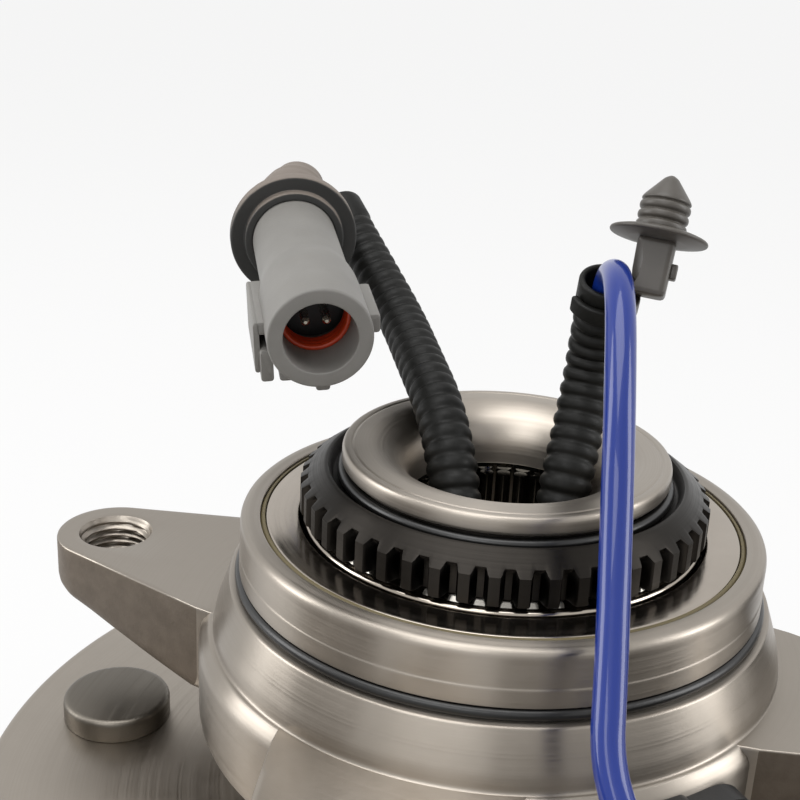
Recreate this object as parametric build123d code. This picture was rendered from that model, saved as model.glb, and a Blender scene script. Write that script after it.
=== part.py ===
from build123d import *
import math
import os

# Third-generation wheel hub unit: a flanged outer ring that bolts to the steering
# knuckle, a flanged spindle that carries the wheel, two rows of balls between them,
# a clutch gear at the inboard end and a wheel-speed sensor with its lead.
# Millimetres. Origin: hub axis at the face that meets the knuckle. +Z points inboard,
# towards the clutch gear. The four knuckle lobes lie on X and Y.

# ---------------------------------------------------------------- driving dimensions
RUN_GAP = 0.3            # clearance between a turning piece and its fixed neighbour
SLIP_GAP = 0.05          # radial clearance of a slip or running fit
PRESS_GAP = 0.02         # radial air left in the model between a pressed piece and its seat

# ball rows
BALL_R = 5.95
BALL_CLEARANCE = 0.25
PITCH_R = 35.0
IN_ROW_Z = 9.0
OUT_ROW_Z = -20.0
BALL_COUNT = 14
GROOVE_R = BALL_R + BALL_CLEARANCE
GROOVE_DEG = 75.0        # how far a groove climbs its high shoulder
CAGE_HALF_WALL = 1.3
CAGE_POCKET_GAP = 0.2
CAGE_WIDTH = 13.8

# seals, measured from the pitch circle
SEAL_SEAT_R = PITCH_R + 7.85
SEAL_SEAT_DEPTH = 8.0
OUT_SEAL_SEAT_R = PITCH_R + 7.4
OUT_SEAL_SEAT_DEPTH = 6.0
INNER_LAND_R = PITCH_R - 1.6
SLINGER_R = INNER_LAND_R + 1.9
SEAL_INNER_R = SLINGER_R + 0.8

# knuckle side
PILOT_WALL = 3.65
PILOT_R = SEAL_SEAT_R + PILOT_WALL      # pilot that enters the knuckle
PILOT_TOP_Z = 21.6       # inboard face of the outer ring
PILOT_EDGE_R = 1.4       # rounded inboard edge
SHOULDER_Z = 9.8         # shoulder that the pilot O-ring rests on
SHOULDER_R = PILOT_R + 1.7
BOSS_R = PILOT_R + 4.3   # foot of the cone below the shoulder
BOSS_Z = 2.5
ORING_WIRE_R = 1.35      # pilot O-ring section radius
ORING_GROOVE_DEPTH = 0.9
KNUCKLE_BODY_R = BOSS_R + 2.9           # flange between its lobes
KNUCKLE_THICK = 14.0
LOBE_PCD = 161.7
LOBE_COUNT = 4
LOBE_END_R = 11.7
LOBE_TAPER_DEG = 14.9    # half angle between a lobe's sides
LOBE_TIP_THICK = 11.0
LOBE_ROOT_THICK = 19.0
LOBE_CORNER_R = 4.0      # fillet where a lobe meets the round body
LOBE_CHAMFER = 0.4
BOLT_HOLE_R = 7.0        # major radius of the M14 thread
BOLT_CHAMFER = 0.5
BODY_R = PILOT_R - 0.5   # outer ring outboard of the flange
BODY_CHAMFER = 1.5
OUTER_END_Z = -30.5
ORING_GROOVE_GAP = 0.3
UNDER_SLOPE_DROP = 2.0   # how far the flange thins between body and lobe root

# wheel side
INNER_RING_WALL = 4.3    # under the ball groove
SPINDLE_R = PITCH_R - GROOVE_R - INNER_RING_WALL        # under the inner ring and the clutch gear
INNER_END_Z = -4.0       # outboard end of the inboard inner ring
INNER_TOP_Z = 22.2       # its inboard face
RING_CHAMFER = 0.8
BORE_R = 19.5
BORE_TOP_Z = 24.2
THROAT_R = 16.6
THROAT_TOP_Z = 26.6
BOWL_R = 20.4            # inner edge of the rolled lip
LIP_R = 28.8
LIP_TOP_Z = 34.6
LIP_EDGE_R = 1.3
LIP_FLAT_R = 23.6        # where the rolled lip turns flat
LIP_ROLL_DROP = 0.5      # height lost between that flat and the bowl
LIP_UNDER_CHAMFER = 0.6
LIP_UNDER_Z = 31.3
WHEEL_FLANGE_R = 95.0
WHEEL_FLANGE_Z = -34.4   # inboard face
WHEEL_FLANGE_THICK = 11.0
WHEEL_EDGE_R = 1.5
WHEEL_ROOT_R = PITCH_R + 3.5            # hub body between the outboard seal and the wheel flange
WHEEL_ROOT_FLARE = 3.0
HUB_CHAMFER = 1.5
ROTOR_PILOT_R = 46.5
ROTOR_PILOT_LEN = 6.0
WHEEL_PILOT_R = 43.5
WHEEL_PILOT_LEN = 8.0
DISH_R = 37.6            # forged hollow in the outboard end
DISH_DEPTH = 13.4
DISH_WAIST_R = 28.1      # the hollow narrows in steps up to the spindle bore
DISH_WAIST_UP = 16.0
DISH_NECK_R = 24.1
DISH_NECK_UP = 28.0
DISH_END_UP = 38.0
STUD_PCD = 150.0
STUD_COUNT = 7
STUD_PHASE_DEG = -171.0
STUD_R = 7.0
STUD_LEN = 46.0          # beyond the wheel face
STUD_KNURL_R = 7.4
STUD_KNURL_LEN = WHEEL_FLANGE_THICK + 0.3
STUD_HEAD_EDGE = 1.2
STUD_TIP_SLOPE = 1.4
STUD_TIP_CHAMFER = 0.6
STUD_HEAD_R = 10.6
STUD_HEAD_H = 4.6
STUD_TIP_LEN = 4.0
STUD_TIP_R = 5.6

# clutch gear
GEAR_TEETH = 48
GEAR_TIP_R = INNER_LAND_R + 2.5
GEAR_ROOT_R = GEAR_TIP_R - 2.8
GEAR_BOTTOM_Z = 22.7
GEAR_TIP_Z = 27.9        # where the cone starts on the tooth tips
GEAR_CONE_R = GEAR_TIP_R - 4.1
GEAR_CONE_Z = 31.0
GEAR_NECK_R = 27.6
GEAR_NECK_Z = 29.0
GEAR_FOOT_STEP = 1.2
GEAR_RIM_W = 0.8
GEAR_RIM_DROP = 0.4
GEAR_NECK_STEP = 1.4
TOOTH_TIP_SHARE = 0.56   # share of the pitch that is tooth, at the tip
TOOTH_ROOT_SHARE = 0.66
GEAR_RING_WIRE_R = 0.95

# inboard seal
SEAL_FACE_Z = 21.3
SEAL_PLATE = 0.8
SEAL_RUBBER_W = 0.9
SEAL_SKIRT_FOOT = 1.0    # skirt's edge above the floor of its seat
SEAL_RUBBER_EDGE = 0.5
SLINGER_WALL = 0.7
SLINGER_FLANGE_OUT = 3.0
SLINGER_FLANGE_LIFT = 2.0
SLINGER_EDGE_RISE = 0.35
OUT_SEAL_WALL = 1.2
OUT_SEAL_LIP = 1.8

# tone ring and sensor
TONE_Z = -7.5
TONE_WIDTH = 6.0
TONE_R = PITCH_R - 2.1
TONE_TEETH = 44
TONE_SLOT_DEPTH = 1.6
SENSOR_AZ_DEG = -45.0
SENSOR_R = 4.0
SENSOR_AIR_GAP = 0.8
SENSOR_FLAT_R = KNUCKLE_BODY_R - 1.2    # flat on the flange edge that the head rests on
SENSOR_HEAD_LEN = 12.0
SENSOR_HEAD_W = 13.0
SENSOR_HEAD_H = 11.0
SENSOR_HEAD_FILLET = 2.0
SENSOR_HEAD_CHAMFER = 0.8
SENSOR_SPOUT_WALL = 0.6
SENSOR_EAR_THICK = 4.0
SENSOR_EAR_MARGIN = 0.5
SCREW_OFFSET = 12.5      # screw axis from the sensor's axis
SENSOR_SPOUT_R = 4.0
SENSOR_SPOUT_LEN = 5.0
SENSOR_RING_R = BODY_R + 1.5            # where the nose's O-ring sits, from the hub axis
SENSOR_RING_WIRE_R = 0.6
SCREW_R = 2.5
SCREW_HEAD_R = 4.4
SCREW_HEAD_H = 3.6
SCREW_LEN = 14.0

# needle bearing in the spindle bore
NEEDLE_R = 1.25
NEEDLE_COUNT = 34
NEEDLE_LEN = 15.8
CUP_WALL = 0.8
CUP_LEN = 20.0
CUP_LIP_R = 16.9

# lead
CABLE_R = 2.4
CONDUIT_R = 4.5
CONDUIT_CUFF_R = 4.8
CONDUIT_CUFF_LEN = 6.0
CUFF_GAP = 1.3           # air round the cable inside the cuff

# connector
CONN_R = 8.9
CONN_NECK_R = 8.05
CONN_HEAD_LEN = 19.0
CONN_LEN = 46.0
CONN_SPIGOT = 4.0
CONN_EDGE = 1.0
CONN_STEP = 5.0
CONN_RAILS = [           # x, y and z spans in the connector's frame
    (-10.8, -9.5, -8.5, 1.0, -25.0, -6.0),
    (-9.6, -6.5, -2.5, 1.0, -25.0, -6.0),
    (-9.6, -7.4, -9.8, -4.0, -24.0, -5.0),
    (-6.6, -1.2, -10.3, -6.5, -26.0, -6.0),
    (-0.6, 1.8, -12.0, -7.5, -24.0, -5.0),
    (7.0, 11.0, -3.6, 0.6, -22.0, -8.0)]
CONN_MOUTH_R = 6.26
CONN_MOUTH_DEPTH = 20.0
CONN_SEAL_WALL = 0.9
CONN_SEAL_Z = 9.0
CONN_SEAL_LEN = 4.0
CONN_SEAL_RIBS = 3
CONN_SEAL_RIB_H = 0.35
CONN_INSERT_Z = 15.0
PIN_R = 0.75
PIN_PITCH = 3.6
PIN_LEN = 8.0
PIN_POINT = 0.6
GROMMET_R = 12.3
GROMMET_THICK = 5.2
GROMMET_Z = -47.0        # its front, in the connector's frame
GROMMET_SLOPE = 2.3
GROMMET_EDGE = 0.9
GROMMET_DISH = 2.7
BOOT_R0 = 9.6
BOOT_R1 = 4.9
BOOT_WAIST_R = 6.6
BOOT_WAIST = (-57.4, 31.0, 65.0)

# clip
CLIP_DISC_R = 8.3
CLIP_DISC_T = 1.1
CLIP_DISC_EDGE = 1.5
CLIP_DISC_DISH = 0.5
CLIP_SHANK_R = 3.7
CLIP_RIB_R = 4.3
CLIP_RIBS = 3
CLIP_RIB_PITCH = 1.65
CLIP_TIP_LEN = 3.6
CLIP_TIP_R = 0.9
CLIP_BLOCK = (6.4, 6.0, 9.8)
CLIP_BLOCK_FILLET = 1.0
CLIP_RING_WALL = 1.2
CLIP_RING_LEN = 3.0
CLIP_RING_DROP = 4.0     # ring's middle below the conduit's mouth
CLIP_ORIGIN = (20.2, 10.9, 72.3)        # under the middle of the disc
CLIP_OPEN_DEG = -50.0    # the ring's opening, turned from straight away from the block
CLIP_UP = (0.040, 0.412, 0.911)
CLIP_SIDE = (0.991, 0.102, -0.090)

FROM_BASE = (Align.CENTER, Align.CENTER, Align.MIN)
FROM_TOP = (Align.CENTER, Align.CENTER, Align.MAX)

os.makedirs("parts", exist_ok=True)


def save(shape, node):
    export_step(shape, f"parts/{node}.step")


def turned(points):
    """A solid of revolution about Z from its half section, given as (r, z)."""
    face = make_face(Polyline(*[(r, 0, z) for r, z in points], close=True))
    return revolve(face, Axis.Z)


def arc_points(r0, z0, radius, start_deg, end_deg, steps=8):
    """Points of an arc in the half section, both ends included."""
    turn = [math.radians(start_deg + (end_deg - start_deg) * i / steps) for i in range(steps + 1)]
    return [(r0 + radius * math.cos(a), z0 + radius * math.sin(a)) for a in turn]


def polar(radius, deg, z=0.0):
    return (radius * math.cos(math.radians(deg)), radius * math.sin(math.radians(deg)), z)


def ring(r_in, r_out, z0, z1):
    return turned([(r_in, z0), (r_out, z0), (r_out, z1), (r_in, z1)])


# ---------------------------------------------------------------- outer ring
def lobe_plan():
    """Plan of the knuckle flange: a round body with tapering lobes, corners filleted."""
    side = math.radians(90 - LOBE_TAPER_DEG)
    tip_x = LOBE_PCD / 2 + LOBE_END_R * math.cos(side)
    tip_y = LOBE_END_R * math.sin(side)
    root_x = KNUCKLE_BODY_R * 0.5
    root_y = tip_y + (tip_x - root_x) * math.tan(math.radians(LOBE_TAPER_DEG))
    wedge = make_face(Polyline((tip_x, tip_y), (root_x, root_y), (root_x, -root_y), (tip_x, -tip_y),
                               close=True))
    plan = Circle(KNUCKLE_BODY_R)
    for i in range(LOBE_COUNT):
        at = Rot(0, 0, 360 / LOBE_COUNT * i)
        plan += at * wedge
        plan += at * Pos(LOBE_PCD / 2, 0) * Circle(LOBE_END_R)
    inner = [v for v in plan.vertices() if abs(math.hypot(v.X, v.Y) - KNUCKLE_BODY_R) < 1.0]
    return fillet(inner, LOBE_CORNER_R)


def outer_ring():
    """One forging: pilot, knuckle flange and both outer raceways."""
    groove = GROOVE_R
    low = PITCH_R + groove
    profile = [(SEAL_SEAT_R, PILOT_TOP_Z)]
    profile += arc_points(PILOT_R - PILOT_EDGE_R, PILOT_TOP_Z - PILOT_EDGE_R, PILOT_EDGE_R, 90, 0, 4)
    oring_top = SHOULDER_Z + 2 * ORING_WIRE_R + ORING_GROOVE_GAP
    profile += [(PILOT_R, oring_top), (PILOT_R - ORING_GROOVE_DEPTH, oring_top),
                (PILOT_R - ORING_GROOVE_DEPTH, SHOULDER_Z), (SHOULDER_R, SHOULDER_Z),
                (BOSS_R, BOSS_Z), (BOSS_R, -KNUCKLE_THICK / 2), (BODY_R, -KNUCKLE_THICK / 2),
                (BODY_R, OUTER_END_Z + BODY_CHAMFER), (BODY_R - BODY_CHAMFER, OUTER_END_Z),
                (OUT_SEAL_SEAT_R, OUTER_END_Z), (OUT_SEAL_SEAT_R, OUTER_END_Z + OUT_SEAL_SEAT_DEPTH),
                (low, OUTER_END_Z + OUT_SEAL_SEAT_DEPTH)]
    profile += arc_points(PITCH_R, OUT_ROW_Z, groove, 0, GROOVE_DEG)
    profile += arc_points(PITCH_R, IN_ROW_Z, groove, -GROOVE_DEG, 0)
    profile += [(low, PILOT_TOP_Z - SEAL_SEAT_DEPTH), (SEAL_SEAT_R, PILOT_TOP_Z - SEAL_SEAT_DEPTH)]
    body = turned(profile)
    reach = LOBE_PCD / 2 + LOBE_END_R + 1
    under = turned([(BODY_R - 1, 0), (reach, 0), (reach, -LOBE_TIP_THICK),
                    (KNUCKLE_BODY_R + 1, UNDER_SLOPE_DROP - LOBE_ROOT_THICK),
                    (BODY_R - 1, -LOBE_ROOT_THICK - 1)])
    flange = extrude(lobe_plan(), amount=-LOBE_ROOT_THICK - 2) & under
    flange -= Pos(0, 0, -LOBE_ROOT_THICK - 3) * Cylinder(
        BODY_R - 0.5, LOBE_ROOT_THICK + 4, align=FROM_BASE)
    rim = [e for e in flange.edges() if abs(e.center().Z) < 1e-4
           and max(math.hypot(v.X, v.Y) for v in e.vertices()) > BODY_R + 2]
    flange = chamfer(rim, LOBE_CHAMFER)
    for i in range(LOBE_COUNT):
        at = Pos(*polar(LOBE_PCD / 2, 360 / LOBE_COUNT * i))
        flange -= at * Cylinder(BOLT_HOLE_R, 4 * LOBE_ROOT_THICK)
        flange -= at * Pos(0, 0, -BOLT_CHAMFER) * Cone(
            BOLT_HOLE_R, BOLT_HOLE_R + 2 * BOLT_CHAMFER, 2 * BOLT_CHAMFER, align=FROM_BASE)
    solid = body + flange
    # radial hole for the sensor, and the flat that its head rests on
    hole = sensor_frame(0) * Cylinder(SENSOR_R + SLIP_GAP, SENSOR_FLAT_R + 1, align=FROM_BASE)
    flat = sensor_frame(SENSOR_FLAT_R) * Box(
        2 * (SCREW_OFFSET + SCREW_HEAD_R + 3), 3 * KNUCKLE_THICK, 20, align=FROM_BASE)
    screw_hole = sensor_frame(SENSOR_FLAT_R - SCREW_LEN + SENSOR_EAR_THICK) * Pos(
        SCREW_OFFSET, 0, 0) * Cylinder(SCREW_R + SLIP_GAP, SCREW_LEN, align=FROM_BASE)
    return solid - hole - flat - screw_hole


def sensor_frame(radius):
    """A frame on the sensor's axis at a radius: Z outwards, X level, Y along the hub axis."""
    out = Vector(*polar(1, SENSOR_AZ_DEG))
    level = Vector(*polar(1, SENSOR_AZ_DEG + 90))
    return Plane(origin=Vector(*polar(radius, SENSOR_AZ_DEG, TONE_Z)), x_dir=level, z_dir=out).location


def torus(centre_r, z, wire_r):
    return Pos(0, 0, z) * Torus(centre_r, wire_r)


save(outer_ring(), "outer_ring")
save(torus(PILOT_R - ORING_GROOVE_DEPTH + ORING_WIRE_R + SLIP_GAP, SHOULDER_Z + ORING_WIRE_R + SLIP_GAP,
           ORING_WIRE_R), "pilot_o_ring")


# ---------------------------------------------------------------- wheel side
def wheel_hub():
    """Spindle and wheel flange in one forging, its inboard end rolled over the clutch gear."""
    face_z = WHEEL_FLANGE_Z - WHEEL_FLANGE_THICK
    end_z = face_z - ROTOR_PILOT_LEN - WHEEL_PILOT_LEN
    dish_z = end_z + DISH_DEPTH
    land_r = PITCH_R - GROOVE_R * math.cos(math.radians(GROOVE_DEG))
    low = PITCH_R - GROOVE_R
    profile = [(DISH_R, end_z), (DISH_R, dish_z), (DISH_WAIST_R, dish_z + DISH_WAIST_UP),
               (DISH_NECK_R, dish_z + DISH_NECK_UP), (BORE_R, dish_z + DISH_END_UP),
               (BORE_R, BORE_TOP_Z), (THROAT_R, BORE_TOP_Z), (THROAT_R, THROAT_TOP_Z)]
    bowl = BOWL_R - THROAT_R
    profile += [(THROAT_R + bowl * (1 - math.cos(a)), THROAT_TOP_Z + (LIP_TOP_Z - 3 * LIP_ROLL_DROP
                 - THROAT_TOP_Z) * math.sin(a)) for a in (math.radians(18 * i) for i in range(1, 6))]
    profile += [((BOWL_R + LIP_FLAT_R) / 2, LIP_TOP_Z - LIP_ROLL_DROP), (LIP_FLAT_R, LIP_TOP_Z)]
    profile += arc_points(LIP_R - LIP_EDGE_R, LIP_TOP_Z - LIP_EDGE_R, LIP_EDGE_R, 90, 0, 4)
    profile += [(LIP_R, LIP_UNDER_Z + LIP_UNDER_CHAMFER), (LIP_R - LIP_UNDER_CHAMFER, LIP_UNDER_Z),
                (SPINDLE_R, LIP_UNDER_Z),
                (SPINDLE_R, INNER_END_Z), (low, INNER_END_Z)]
    profile += arc_points(PITCH_R, OUT_ROW_Z, GROOVE_R, 180, 180 + GROOVE_DEG)
    profile += [(land_r, OUTER_END_Z - RUN_GAP), (WHEEL_ROOT_R, OUTER_END_Z - RUN_GAP - HUB_CHAMFER),
                (WHEEL_ROOT_R + WHEEL_ROOT_FLARE, WHEEL_FLANGE_Z)]
    profile += [(WHEEL_FLANGE_R - WHEEL_EDGE_R, WHEEL_FLANGE_Z),
                (WHEEL_FLANGE_R, WHEEL_FLANGE_Z - WHEEL_EDGE_R),
                (WHEEL_FLANGE_R, face_z + WHEEL_EDGE_R), (WHEEL_FLANGE_R - WHEEL_EDGE_R, face_z),
                (ROTOR_PILOT_R, face_z), (ROTOR_PILOT_R, face_z - ROTOR_PILOT_LEN),
                (WHEEL_PILOT_R, face_z - ROTOR_PILOT_LEN), (WHEEL_PILOT_R, end_z + HUB_CHAMFER),
                (WHEEL_PILOT_R - HUB_CHAMFER, end_z)]
    hub = turned(profile)
    for at in stud_places():
        hub -= at * Pos(0, 0, WHEEL_FLANGE_Z + 1) * Cylinder(
            STUD_KNURL_R + PRESS_GAP, WHEEL_FLANGE_THICK + 2, align=FROM_TOP)
    return hub


def stud_places():
    step = 360 / STUD_COUNT
    return [Pos(*polar(STUD_PCD / 2, STUD_PHASE_DEG + step * i)) for i in range(STUD_COUNT)]


def wheel_studs():
    """Pressed wheel studs: a low round head inboard, a knurl in the flange, a plain thread."""
    face_z = WHEEL_FLANGE_Z - WHEEL_FLANGE_THICK
    top = WHEEL_FLANGE_Z + STUD_HEAD_H
    knurl_end = WHEEL_FLANGE_Z - STUD_KNURL_LEN
    tip = face_z - STUD_LEN
    half = [(0, top), (STUD_HEAD_R - STUD_HEAD_EDGE, top), (STUD_HEAD_R, top - STUD_HEAD_EDGE),
            (STUD_HEAD_R, WHEEL_FLANGE_Z),
            (STUD_KNURL_R, WHEEL_FLANGE_Z), (STUD_KNURL_R, knurl_end), (STUD_R, knurl_end),
            (STUD_R, tip + STUD_TIP_LEN), (STUD_TIP_R, tip + STUD_TIP_LEN - STUD_TIP_SLOPE),
            (STUD_TIP_R, tip + STUD_TIP_CHAMFER), (STUD_TIP_R - STUD_TIP_CHAMFER, tip), (0, tip)]
    stud = turned(half)
    return Compound(children=[at * stud for at in stud_places()])


def inner_ring():
    """Separate inner ring of the inboard row, clamped between spindle shoulder and gear."""
    low = PITCH_R - GROOVE_R
    profile = [(SPINDLE_R + PRESS_GAP, INNER_END_Z), (low, INNER_END_Z)]
    profile += arc_points(PITCH_R, IN_ROW_Z, GROOVE_R, 180, 180 - GROOVE_DEG)
    profile += [(INNER_LAND_R, INNER_TOP_Z - RING_CHAMFER), (INNER_LAND_R - RING_CHAMFER, INNER_TOP_Z),
                (SPINDLE_R + PRESS_GAP, INNER_TOP_Z)]
    return turned(profile)


def gear_outline():
    """Plan of the clutch teeth: straight flanks, narrower at the tip than at the root."""
    pitch = 360 / GEAR_TEETH
    tip = pitch * TOOTH_TIP_SHARE / 2
    root = pitch * TOOTH_ROOT_SHARE / 2
    points = []
    for i in range(GEAR_TEETH):
        mid = pitch * i
        points += [polar(GEAR_ROOT_R, mid - root)[:2], polar(GEAR_TIP_R, mid - tip)[:2],
                   polar(GEAR_TIP_R, mid + tip)[:2], polar(GEAR_ROOT_R, mid + root)[:2]]
    return make_face(Polyline(*points, close=True))


def clutch_gear():
    """Dog-clutch ring: straight external teeth whose inboard ends run out on a cone."""
    blank = turned([(SPINDLE_R + PRESS_GAP, INNER_TOP_Z), (INNER_LAND_R - GEAR_FOOT_STEP, INNER_TOP_Z),
                    (INNER_LAND_R - GEAR_FOOT_STEP, GEAR_BOTTOM_Z), (GEAR_TIP_R + 1, GEAR_BOTTOM_Z),
                    (GEAR_TIP_R + 1, GEAR_TIP_Z - (GEAR_CONE_Z - GEAR_TIP_Z) / (GEAR_TIP_R - GEAR_CONE_R)),
                    (GEAR_CONE_R, GEAR_CONE_Z), (GEAR_CONE_R - GEAR_RIM_W, GEAR_CONE_Z - GEAR_RIM_DROP),
                    (GEAR_CONE_R - GEAR_NECK_STEP, GEAR_NECK_Z), (GEAR_NECK_R, GEAR_NECK_Z),
                    (GEAR_NECK_R, LIP_UNDER_Z), (SPINDLE_R + PRESS_GAP, LIP_UNDER_Z)])
    teeth = Pos(0, 0, INNER_TOP_Z - 1) * extrude(gear_outline(), amount=LIP_UNDER_Z - INNER_TOP_Z + 2)
    return blank & teeth


def tone_ring():
    """Slotted steel ring that the sensor reads, pressed on the spindle between the rows."""
    low = PITCH_R - GROOVE_R
    body = ring(low + PRESS_GAP, TONE_R, TONE_Z - TONE_WIDTH / 2, TONE_Z + TONE_WIDTH / 2)
    slot_w = math.pi * TONE_R / TONE_TEETH
    slot = Pos(TONE_R, 0, TONE_Z) * Box(2 * TONE_SLOT_DEPTH, slot_w, TONE_WIDTH - 2)
    for i in range(TONE_TEETH):
        body -= Rot(0, 0, 360 / TONE_TEETH * i) * slot
    return body


save(wheel_hub(), "wheel_hub")
save(wheel_studs(), "wheel_studs")
save(inner_ring(), "inner_ring")
save(clutch_gear(), "clutch_gear")
save(torus(GEAR_NECK_R + GEAR_RING_WIRE_R + SLIP_GAP, GEAR_NECK_Z + GEAR_RING_WIRE_R + SLIP_GAP,
           GEAR_RING_WIRE_R), "gear_o_ring")
save(tone_ring(), "tone_ring")


# ---------------------------------------------------------------- rolling elements
def ball_places(row_z):
    return [Pos(*polar(PITCH_R, 360 / BALL_COUNT * i, row_z)) for i in range(BALL_COUNT)]


def balls(row_z):
    return Compound(children=[at * Sphere(BALL_R) for at in ball_places(row_z)])


def cage(row_z):
    """Moulded window cage: a plain band with a round pocket for each ball."""
    band = ring(PITCH_R - CAGE_HALF_WALL, PITCH_R + CAGE_HALF_WALL,
                row_z - CAGE_WIDTH / 2, row_z + CAGE_WIDTH / 2)
    pocket = Cylinder(BALL_R + CAGE_POCKET_GAP, 8 * CAGE_HALF_WALL, rotation=(0, 90, 0))
    for i in range(BALL_COUNT):
        turn = 360 / BALL_COUNT * i
        band -= Pos(*polar(PITCH_R, turn, row_z)) * Rot(0, 0, turn) * pocket
    return band


for row_name, row_z in (("inboard", IN_ROW_Z), ("outboard", OUT_ROW_Z)):
    save(balls(row_z), f"{row_name}_balls")
    save(cage(row_z), f"{row_name}_cage")


# ---------------------------------------------------------------- needle bearing
def needle_cup():
    """Drawn cup with turned-in lips, pressed into the spindle bore."""
    out = BORE_R - PRESS_GAP
    top = BORE_TOP_Z
    low = top - CUP_LEN
    inner = out - CUP_WALL
    return turned([(out, low), (out, top), (CUP_LIP_R, top), (CUP_LIP_R, top - CUP_WALL),
                   (inner, top - CUP_WALL), (inner, low + CUP_WALL), (CUP_LIP_R, low + CUP_WALL),
                   (CUP_LIP_R, low)])


def needle_rollers():
    ring_r = BORE_R - PRESS_GAP - CUP_WALL - NEEDLE_R - SLIP_GAP
    low = BORE_TOP_Z - CUP_LEN / 2 - NEEDLE_LEN / 2
    needle = Cylinder(NEEDLE_R, NEEDLE_LEN, align=FROM_BASE)
    return Compound(children=[Pos(*polar(ring_r, 360 / NEEDLE_COUNT * i, low)) * needle
                              for i in range(NEEDLE_COUNT)])


save(needle_cup(), "needle_cup")
save(needle_rollers(), "needle_rollers")


# ---------------------------------------------------------------- seals
def inboard_seal_case():
    """Pressed steel case of the inboard seal: a flat annular plate with a short skirt."""
    out = SEAL_SEAT_R - SEAL_RUBBER_W
    foot = PILOT_TOP_Z - SEAL_SEAT_DEPTH + SEAL_SKIRT_FOOT
    return turned([(SEAL_INNER_R, SEAL_FACE_Z - SEAL_PLATE), (SEAL_INNER_R, SEAL_FACE_Z),
                   (out, SEAL_FACE_Z), (out, foot), (out - SEAL_PLATE, foot),
                   (out - SEAL_PLATE, SEAL_FACE_Z - SEAL_PLATE)])


def inboard_seal_rubber():
    """Rubber edge moulded on the case, which seals it in the outer ring."""
    out = SEAL_SEAT_R
    foot = PILOT_TOP_Z - SEAL_SEAT_DEPTH + SEAL_SKIRT_FOOT
    return turned([(out - SEAL_RUBBER_W, foot), (out, foot), (out, SEAL_FACE_Z - SEAL_RUBBER_EDGE),
                   (out - SEAL_RUBBER_EDGE, SEAL_FACE_Z), (out - SEAL_RUBBER_W, SEAL_FACE_Z)])


def inboard_slinger():
    """Slinger pressed on the inner ring: sleeve, inner flange and a bright rolled edge."""
    foot = IN_ROW_Z + GROOVE_R * math.sin(math.radians(GROOVE_DEG))
    wall = INNER_LAND_R + PRESS_GAP
    low = foot + SLINGER_FLANGE_LIFT
    rim = SLINGER_R + SLINGER_FLANGE_OUT
    edge = SEAL_FACE_Z + SLINGER_EDGE_RISE
    return turned([(wall, low), (rim, low), (rim, low + SLINGER_WALL), (SLINGER_R, low + SLINGER_WALL),
                   (SLINGER_R, edge - SLINGER_EDGE_RISE), (SLINGER_R - SLINGER_EDGE_RISE, edge),
                   (SLINGER_R - SLINGER_WALL, edge),
                   (SLINGER_R - SLINGER_WALL - SLINGER_EDGE_RISE, edge - SLINGER_EDGE_RISE),
                   (wall, INNER_TOP_Z - RING_CHAMFER - SLINGER_WALL)])


def outboard_seal():
    """Outboard seal: a steel-backed rubber ring in the outer ring, close to the hub root."""
    land_r = PITCH_R - GROOVE_R * math.cos(math.radians(GROOVE_DEG))
    top = OUTER_END_Z + OUT_SEAL_SEAT_DEPTH
    out = OUT_SEAL_SEAT_R
    face = OUTER_END_Z + OUT_SEAL_WALL
    return turned([(land_r + RUN_GAP, face), (out, face), (out, top), (out - OUT_SEAL_WALL, top),
                   (out - OUT_SEAL_WALL, face + OUT_SEAL_WALL), (land_r + OUT_SEAL_LIP, face + OUT_SEAL_WALL),
                   (land_r + RUN_GAP, face + OUT_SEAL_LIP)])


save(inboard_seal_case(), "inboard_seal_case")
save(inboard_seal_rubber(), "inboard_seal_rubber")
save(inboard_slinger(), "inboard_slinger")
save(outboard_seal(), "outboard_seal")


# ---------------------------------------------------------------- wheel-speed sensor
def sensor_body():
    """Moulded sensor: a round nose through the ring, a square head, an ear and a cable spout."""
    nose_r = TONE_R + SENSOR_AIR_GAP
    nose = sensor_frame(nose_r) * Cylinder(SENSOR_R, SENSOR_FLAT_R - nose_r, align=FROM_BASE)
    head = Box(SENSOR_HEAD_W, SENSOR_HEAD_H, SENSOR_HEAD_LEN, align=FROM_BASE)
    head = fillet(head.edges().filter_by(Axis.Z), SENSOR_HEAD_FILLET)
    head = chamfer(head.faces().sort_by(Axis.Z)[-1].edges(), SENSOR_HEAD_CHAMFER)
    ear_r = SCREW_HEAD_R + SENSOR_EAR_MARGIN
    ear = Pos(SCREW_OFFSET / 2, 0, 0) * Box(SCREW_OFFSET, 2 * ear_r, SENSOR_EAR_THICK, align=FROM_BASE)
    ear += Pos(SCREW_OFFSET, 0, 0) * Cylinder(ear_r, SENSOR_EAR_THICK, align=FROM_BASE)
    ear -= Pos(SCREW_OFFSET, 0, 0) * Cylinder(SCREW_R + SLIP_GAP, 4 * SENSOR_EAR_THICK)
    spout = Pos(0, 0, SENSOR_HEAD_LEN) * Cone(
        SENSOR_SPOUT_R, CABLE_R + SENSOR_SPOUT_WALL, SENSOR_SPOUT_LEN, align=FROM_BASE)
    groove_r = SENSOR_R - 2 * SENSOR_RING_WIRE_R - PRESS_GAP
    groove = sensor_frame(SENSOR_RING_R) * (
        Cylinder(SENSOR_R + 1, 2.2 * SENSOR_RING_WIRE_R) - Cylinder(groove_r, 2.2 * SENSOR_RING_WIRE_R))
    return nose + sensor_frame(SENSOR_FLAT_R) * (head + ear + spout) - groove


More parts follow.
